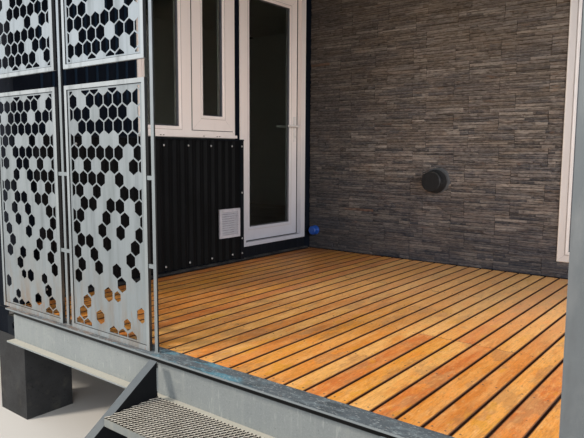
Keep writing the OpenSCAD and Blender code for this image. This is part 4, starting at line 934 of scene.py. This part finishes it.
def dress_window(wall, left):
    """Beads, gaskets, mitre lines and sealant of one window; left is its left edge along the wall."""
    right, foot = left + WINDOW_WIDTH, WINDOW_SILL + SILL
    head_in, foot_in = WINDOW_HEAD - FRAME_FACE, foot + FRAME_FACE
    sash = grown((left + MULLION_RIGHT, right - FRAME_FACE, foot_in, head_in), SASH_LAP)
    for rect, proud in (((left + FRAME_FACE, left + MULLION_LEFT, foot_in, head_in), 0),
                        (grown(sash, -SASH_FACE), SASH_PROUD)):
        glaze(beads, spacers, mitres, wall, rect, proud)
        mitred_ring(beads, wall, rect, INNER_BEAD)
    # the gasket round the sash is made 4.5 mm wide so that it also stands as a painted shadow line
    # round the sash
    mitred_ring(gaskets, wall, grown(sash, 4.5), SASH_GASKET)
    mitre_lines(mitres, wall, (left, right, foot, WINDOW_HEAD), FRAME_FACE - 1)
    mitre_lines(mitres, wall, sash, SASH_FACE - 1, SASH_PROUD)
    mitred_ring(sealant, wall, grown((left, right, WINDOW_SILL, WINDOW_HEAD), 5), WALL_SEALANT)


jamb_low, jamb_high = site_box("door_jambs")
window_left = jamb_low.y - JAMB_GAP - WINDOW_WIDTH
dress_window(PORCH_SIDE, window_left)
dress_window(FRONT_SIDE, (site_box("front_wall")[0].x - CORNER_POST - WINDOW_WIDTH) / 2)
post_low, post_high = site_box("porch_post")
dress_window(BACK_SIDE, (site_box("left_walls")[0].x + post_high.x - WINDOW_WIDTH + 8) / 2)

# tall glazing beside the post
tall_wall = Wall((0, hole_low.y, 0), (1, 0, 0), (0, -1, 0))
tall_frame = (hole_low.x, hole_high.x, hole_low.z, hole_high.z)
glaze(beads, spacers, mitres, tall_wall, grown(tall_frame, -TALL_FACE))
mitre_lines(mitres, tall_wall, tall_frame, TALL_FACE - 1)
mitred_ring(sealant, tall_wall, grown(tall_frame, 7, 5, 6, 5), STONE_SEALANT)

# door frame and leaf, with a keyhole under the lever on both sides
door_frame = (jamb_low.y, jamb_high.y, jamb_low.z, jamb_high.z)
mitre_lines(mitres, PORCH_SIDE, door_frame, JAMB_FACE - 1)
mitred_ring(sealant, PORCH_SIDE, grown(door_frame, 5, 4, 4, 5), WALL_SEALANT)
door_stop = grown(door_frame, -JAMB_FACE, -JAMB_FACE, -THRESHOLD, -JAMB_FACE)
mitred_ring(gaskets, PORCH_SIDE, door_stop, STOP_GASKET)
pane_low, pane_high = site_box("door_glass")
pane = (pane_low.y, pane_high.y, pane_low.z, pane_high.z)
leaf_edge = grown(pane, LEAF_FACE)
leaf_face = Wall((-50, 0, 0), (0, 1, 0), (1, 0, 0))
leaf_back = Wall((-112, 0, 0), (0, 1, 0), (-1, 0, 0))
glaze(leaf_beads, leaf_spacers, leaf_mitres, leaf_face, pane)
mitred_ring(leaf_beads, leaf_back, pane, LEAF_BACK_BEAD, 0.3)
for side in (leaf_face, leaf_back):
    mitre_lines(leaf_mitres, side, leaf_edge, LEAF_FACE - 1)
KEYHOLE_FACES, KEYHOLE_DEPTH = (-37.2, -125.2), 0.6
KEYHOLE_IN, KEYHOLE_HEIGHTS = (47.2, 44.8), (1020, 1034)
for x in KEYHOLE_FACES:
    sides = (leaf_edge[1] - edge for edge in KEYHOLE_IN)
    block(keyholes, x, x + KEYHOLE_DEPTH, *sides, *KEYHOLE_HEIGHTS)
white = MATERIALS["white_frame"]
for body, name, shape, material in (
        (CABIN, "glazing_beads", beads, white), (CABIN, "frame_gaskets", gaskets, GASKET),
        (CABIN, "glazing_spacers", spacers, SPACER), (CABIN, "frame_mitres", mitres, MITRE),
        (CABIN, "frame_sealant", sealant, SEALANT), (DOOR, "leaf_beads", leaf_beads, white),
        (DOOR, "leaf_spacers", leaf_spacers, SPACER), (DOOR, "leaf_mitres", leaf_mitres, MITRE),
        (DOOR, "keyholes", keyholes, GASKET)):
    keep(name, solid_mesh(name, shape, material), body)

# drain slots in the sill of the window wall
SILL_SKIN, DRAIN_HEIGHTS, DRAIN_WIDTH = (25.9, 26.3), (999, 1004), 14
slots = bmesh.new()
for y in (window_left + u for u in (150, 176, 560, 700, 726)):
    block(slots, *SILL_SKIN, y, y + DRAIN_WIDTH, *DRAIN_HEIGHTS)
keep("sill_drains", solid_mesh("sill_drains", slots, GASKET))

# Screws: washered ones round the cladding, small ones at the grille
clad_low = site_box("cladding_trims")[0]
CREST, TRIM_FACE, TRIM_MIDDLE, TRIM_GAP, TOP_ROW, FOOT_ROW = 28.0, 34.0, 20, 2, 930, 68
FIRST_CREST, CREST_PITCH, CORNER_IN = 237, 76, 12
crests = [FIRST_CREST + k * CREST_PITCH for k in range(0, 22, 3)]
trims = (clad_low.y + TRIM_MIDDLE, jamb_low.y - TRIM_GAP - TRIM_MIDDLE)
rows = [(CREST, y, z) for z in (TOP_ROW, FOOT_ROW) for y in crests]
rows += [(TRIM_FACE, y, z) for y in trims for z in (TOP_ROW, 560, 190, FOOT_ROW)]
washered = [(0, 0), (8, 0), (8, 1.2), (6.5, 1.8), (4.6, 1.8), (4.6, 5.4), (3.4, 6.4), (0, 6.6)]
repeated("cladding_screws", 12, washered, [at(x - 0.3, y, z) for x, y, z in rows], TO_RIGHT, SCREW)
vent_low, vent_high = site_box("vent_grille")
repeated("grille_screws", 10, [(0, 0), (4.2, 0), (4.2, 1.2), (2.8, 2.3), (0, 2.6)],
         [at(vent_high.x - 0.2, y, z) for y in (vent_low.y + CORNER_IN, vent_high.y - CORNER_IN)
          for z in (vent_low.z + CORNER_IN, vent_high.z - CORNER_IN)], TO_RIGHT, SCREW)

# Screws in the ring of the flue
RING_RADIUS, RING_FACE = 87, STONE_FACE - 4
ring_bolts = [at(FLUE_X + RING_RADIUS * math.cos(a), RING_FACE + 0.3,
                 FLUE_Z + RING_RADIUS * math.sin(a)) for a in (0.8, 2.4, 3.9, 5.5)]
repeated("flue_screws", 10, [(0, 0), (4.5, 0), (4, 2), (2, 3.2), (0, 3.6)], ring_bolts, TO_FRONT,
         MATERIALS["flue_black"])

# Weld runs: a row of overlapping ripples along each joint of the deck steel
RIPPLE_PITCH, WEB_FACE = 3.6, 47.2
string_low, string_high = site_box("stair_stringers")
bar_low, bar_high = site_box("screen_bars")
welds = [((x, WEB_FACE, -188), (x, WEB_FACE, -12), UPWARD)
         for x in (post_low.x, post_low.x + 8, post_high.x - 8)]
welds += [((post_low.x, 4.3, 0), (post_low.x, 95, 0), TO_FRONT),
          ((post_low.x, 100, 0), (post_high.x - 5, 100, 0), TO_RIGHT)]
welds += [((x, -0.3, -150), (x, -0.3, -30), UPWARD) for x in (string_low.x + 47, string_high.x - 47)]
welds += [((x, bar_low.y, 0), (x, bar_high.y, 0), TO_FRONT)
          for x in (bar_low.x + 32, bar_low.x + 52, bar_high.x - 20, bar_high.x)]
weld_spots, weld_turns = [], []
for start, end, turn in welds:
    start, end = Vector(start), Vector(end)
    count = int((end - start).length / RIPPLE_PITCH)
    weld_spots += [at(*(start + (end - start) * k / count)) for k in range(count + 1)]
    weld_turns += [turn] * (count + 1)
repeated("weld_runs", 8, [(0, -2.4), (3.2, -1.5), (4.2, 0), (3.2, 1.5), (0, 2.4)], weld_spots,
         weld_turns, MATERIALS["beam_paint"])

# Painted shadow in the corner where the cut sheet of a screen meets its rim
RIM, PANEL_WIDTH = 19.6, 612
screen_wall = Wall((0, 35, 0), (1, 0, 0), (0, -1, 0))
corner_lines = bmesh.new()
lower_low, lower_high = site_box("lower_screens")
upper_low, upper_high = site_box("upper_screens")
for z0, z1 in ((lower_low.z, lower_high.z), (upper_low.z, upper_high.z)):
    for x0 in (lower_low.x, lower_high.x - PANEL_WIDTH):
        mitred_ring(corner_lines, screen_wall, grown((x0, x0 + PANEL_WIDTH, z0, z1), -RIM),
                    [(0, -0.3), (0, 0.6), (3.2, 0.3), (3.2, -0.3)])
keep("screen_corner_dirt", solid_mesh("screen_corner_dirt", corner_lines, RIM_SHADOW))

# Stair treads: a flat-bar frame with expanded metal in it
TREAD_DEPTH, TREAD_HEIGHT, BAR, STRAND, GOING, RISE = 272.0, 40.0, 5.0, 6.4, 250, 175
LAP, INNER_BARS, INNER_HEIGHT = 22, (368, 738), 34
tread_low, tread_high = site_box("stair_treads")
x0, x1 = tread_low.x, tread_high.x
frames, mesh_spots = bmesh.new(), []
for step in (1, 2, 3):
    y0, z1 = -step * GOING - LAP, -step * RISE
    y1, z0, rest = y0 + TREAD_DEPTH, z1 - TREAD_HEIGHT, z1 - STRAND - 0.2
    for y in (y0, y1 - BAR):
        block(frames, x0, x1, y, y + BAR, z0, rest)
    for x, low in ((x0, z0), (x1 - BAR, z0), *((x0 + u, z1 - INNER_HEIGHT) for u in INNER_BARS)):
        block(frames, x, x + BAR, y0 + BAR, y1 - BAR, low, rest)
    mesh_spots.append(at((x0 + x1) / 2, (y0 + y1) / 2, z1 - STRAND / 2))
keep("tread_frames", solid_mesh("tread_frames", frames, MATERIALS["tread_steel"], bevel=1.2),
     stands_for=["stair_treads"])
keep("tread_mesh", grow("tread_mesh", EXPANDED, points(mesh_spots), Length=(x1 - x0 - 6) * MM,
                        Depth=(TREAD_DEPTH - 3) * MM, Long_way=44.5 * MM, Short_way=20.4 * MM,
                        Strand_width=2.9 * MM, Strand_thickness=STRAND * MM,
                        Material=MATERIALS["tread_strands"]))

# Studio: a pale floor that keeps the shadow, under a world that looks white to the camera
FLOOR_REACH = 40.0
ground = bpy.data.meshes.new("floor")
ground.from_pydata([(x * FLOOR_REACH, y * FLOOR_REACH, 0)
                    for x, y in ((-1, -1), (1, -1), (1, 1), (-1, 1))], [], [(0, 1, 2, 3)])
ground.materials.append(Paint("studio floor", Base_Color=colour("#d9d8d5"), Roughness=0.9).material)
floor = put("floor", ground)
floor.location.z = cad_box[0].z - 0.0005

world = bpy.data.worlds.new("studio")
bpy.context.scene.world = world
world.use_nodes = True
sky = world.node_tree
sky.nodes.clear()
rays = add(sky, "ShaderNodeLightPath")
seen = add(sky, MATH, (rays["Is Camera Ray"], rays["Is Glossy Ray"]), operation="MAXIMUM")[0]
shown = add(sky, MATH, (seen, rays["Is Transmission Ray"]), operation="MAXIMUM")[0]
lit = add(sky, "ShaderNodeBackground", (colour("#f1f3f6"), 0.85))[0]
blank = add(sky, "ShaderNodeBackground", (colour("#ffffff"), 1.0))[0]
add(sky, "ShaderNodeOutputWorld", {"Surface": add(sky, "ShaderNodeMixShader", (shown, lit, blank))[0]})


def soft_sun(name, direction, strength, spread, code):
    """A wide, soft lamp that shines along a direction."""
    lamp = bpy.data.lights.new(name, "SUN")
    lamp.energy, lamp.angle, lamp.color = strength, math.radians(spread), colour(code)[:3]
    holder = put(name, lamp)
    holder.rotation_mode = "QUATERNION"
    holder.rotation_quaternion = Vector(direction).to_track_quat("-Z", "Y")


soft_sun("key", (0.42, 0.72, -0.75), 2.25, 10, "#fff1df")
soft_sun("fill", (-0.88, 0.36, -0.24), 1.55, 50, "#ffffff")

# Camera at the photograph's place
CAMERA_AT, LENS_PIXELS, WIDE = (3342.4, -1640.6, 885.2), 604.13, 584
yaw, pitch, roll = (math.radians(a) for a in (-37.996, 6.295, 0.33))
ahead = Vector((math.sin(yaw) * math.cos(pitch), math.cos(yaw) * math.cos(pitch), -math.sin(pitch)))
across = Vector((math.cos(yaw), -math.sin(yaw), 0))
above = across.cross(ahead)
turned = across * math.cos(roll) + above * math.sin(roll)
raised = above * math.cos(roll) - across * math.sin(roll)
eye = bpy.data.cameras.new("camera")
eye.sensor_width = 36.0
eye.lens = LENS_PIXELS / WIDE * eye.sensor_width
eye.clip_start, eye.clip_end = 0.05, 200.0
camera = put("camera", eye)
facing = Matrix((turned, raised, -ahead)).transposed().to_4x4()
camera.matrix_world = Matrix.Translation(at(*CAMERA_AT)) @ facing
bpy.context.scene.camera = camera
bpy.context.scene.view_settings.view_transform = "Standard"
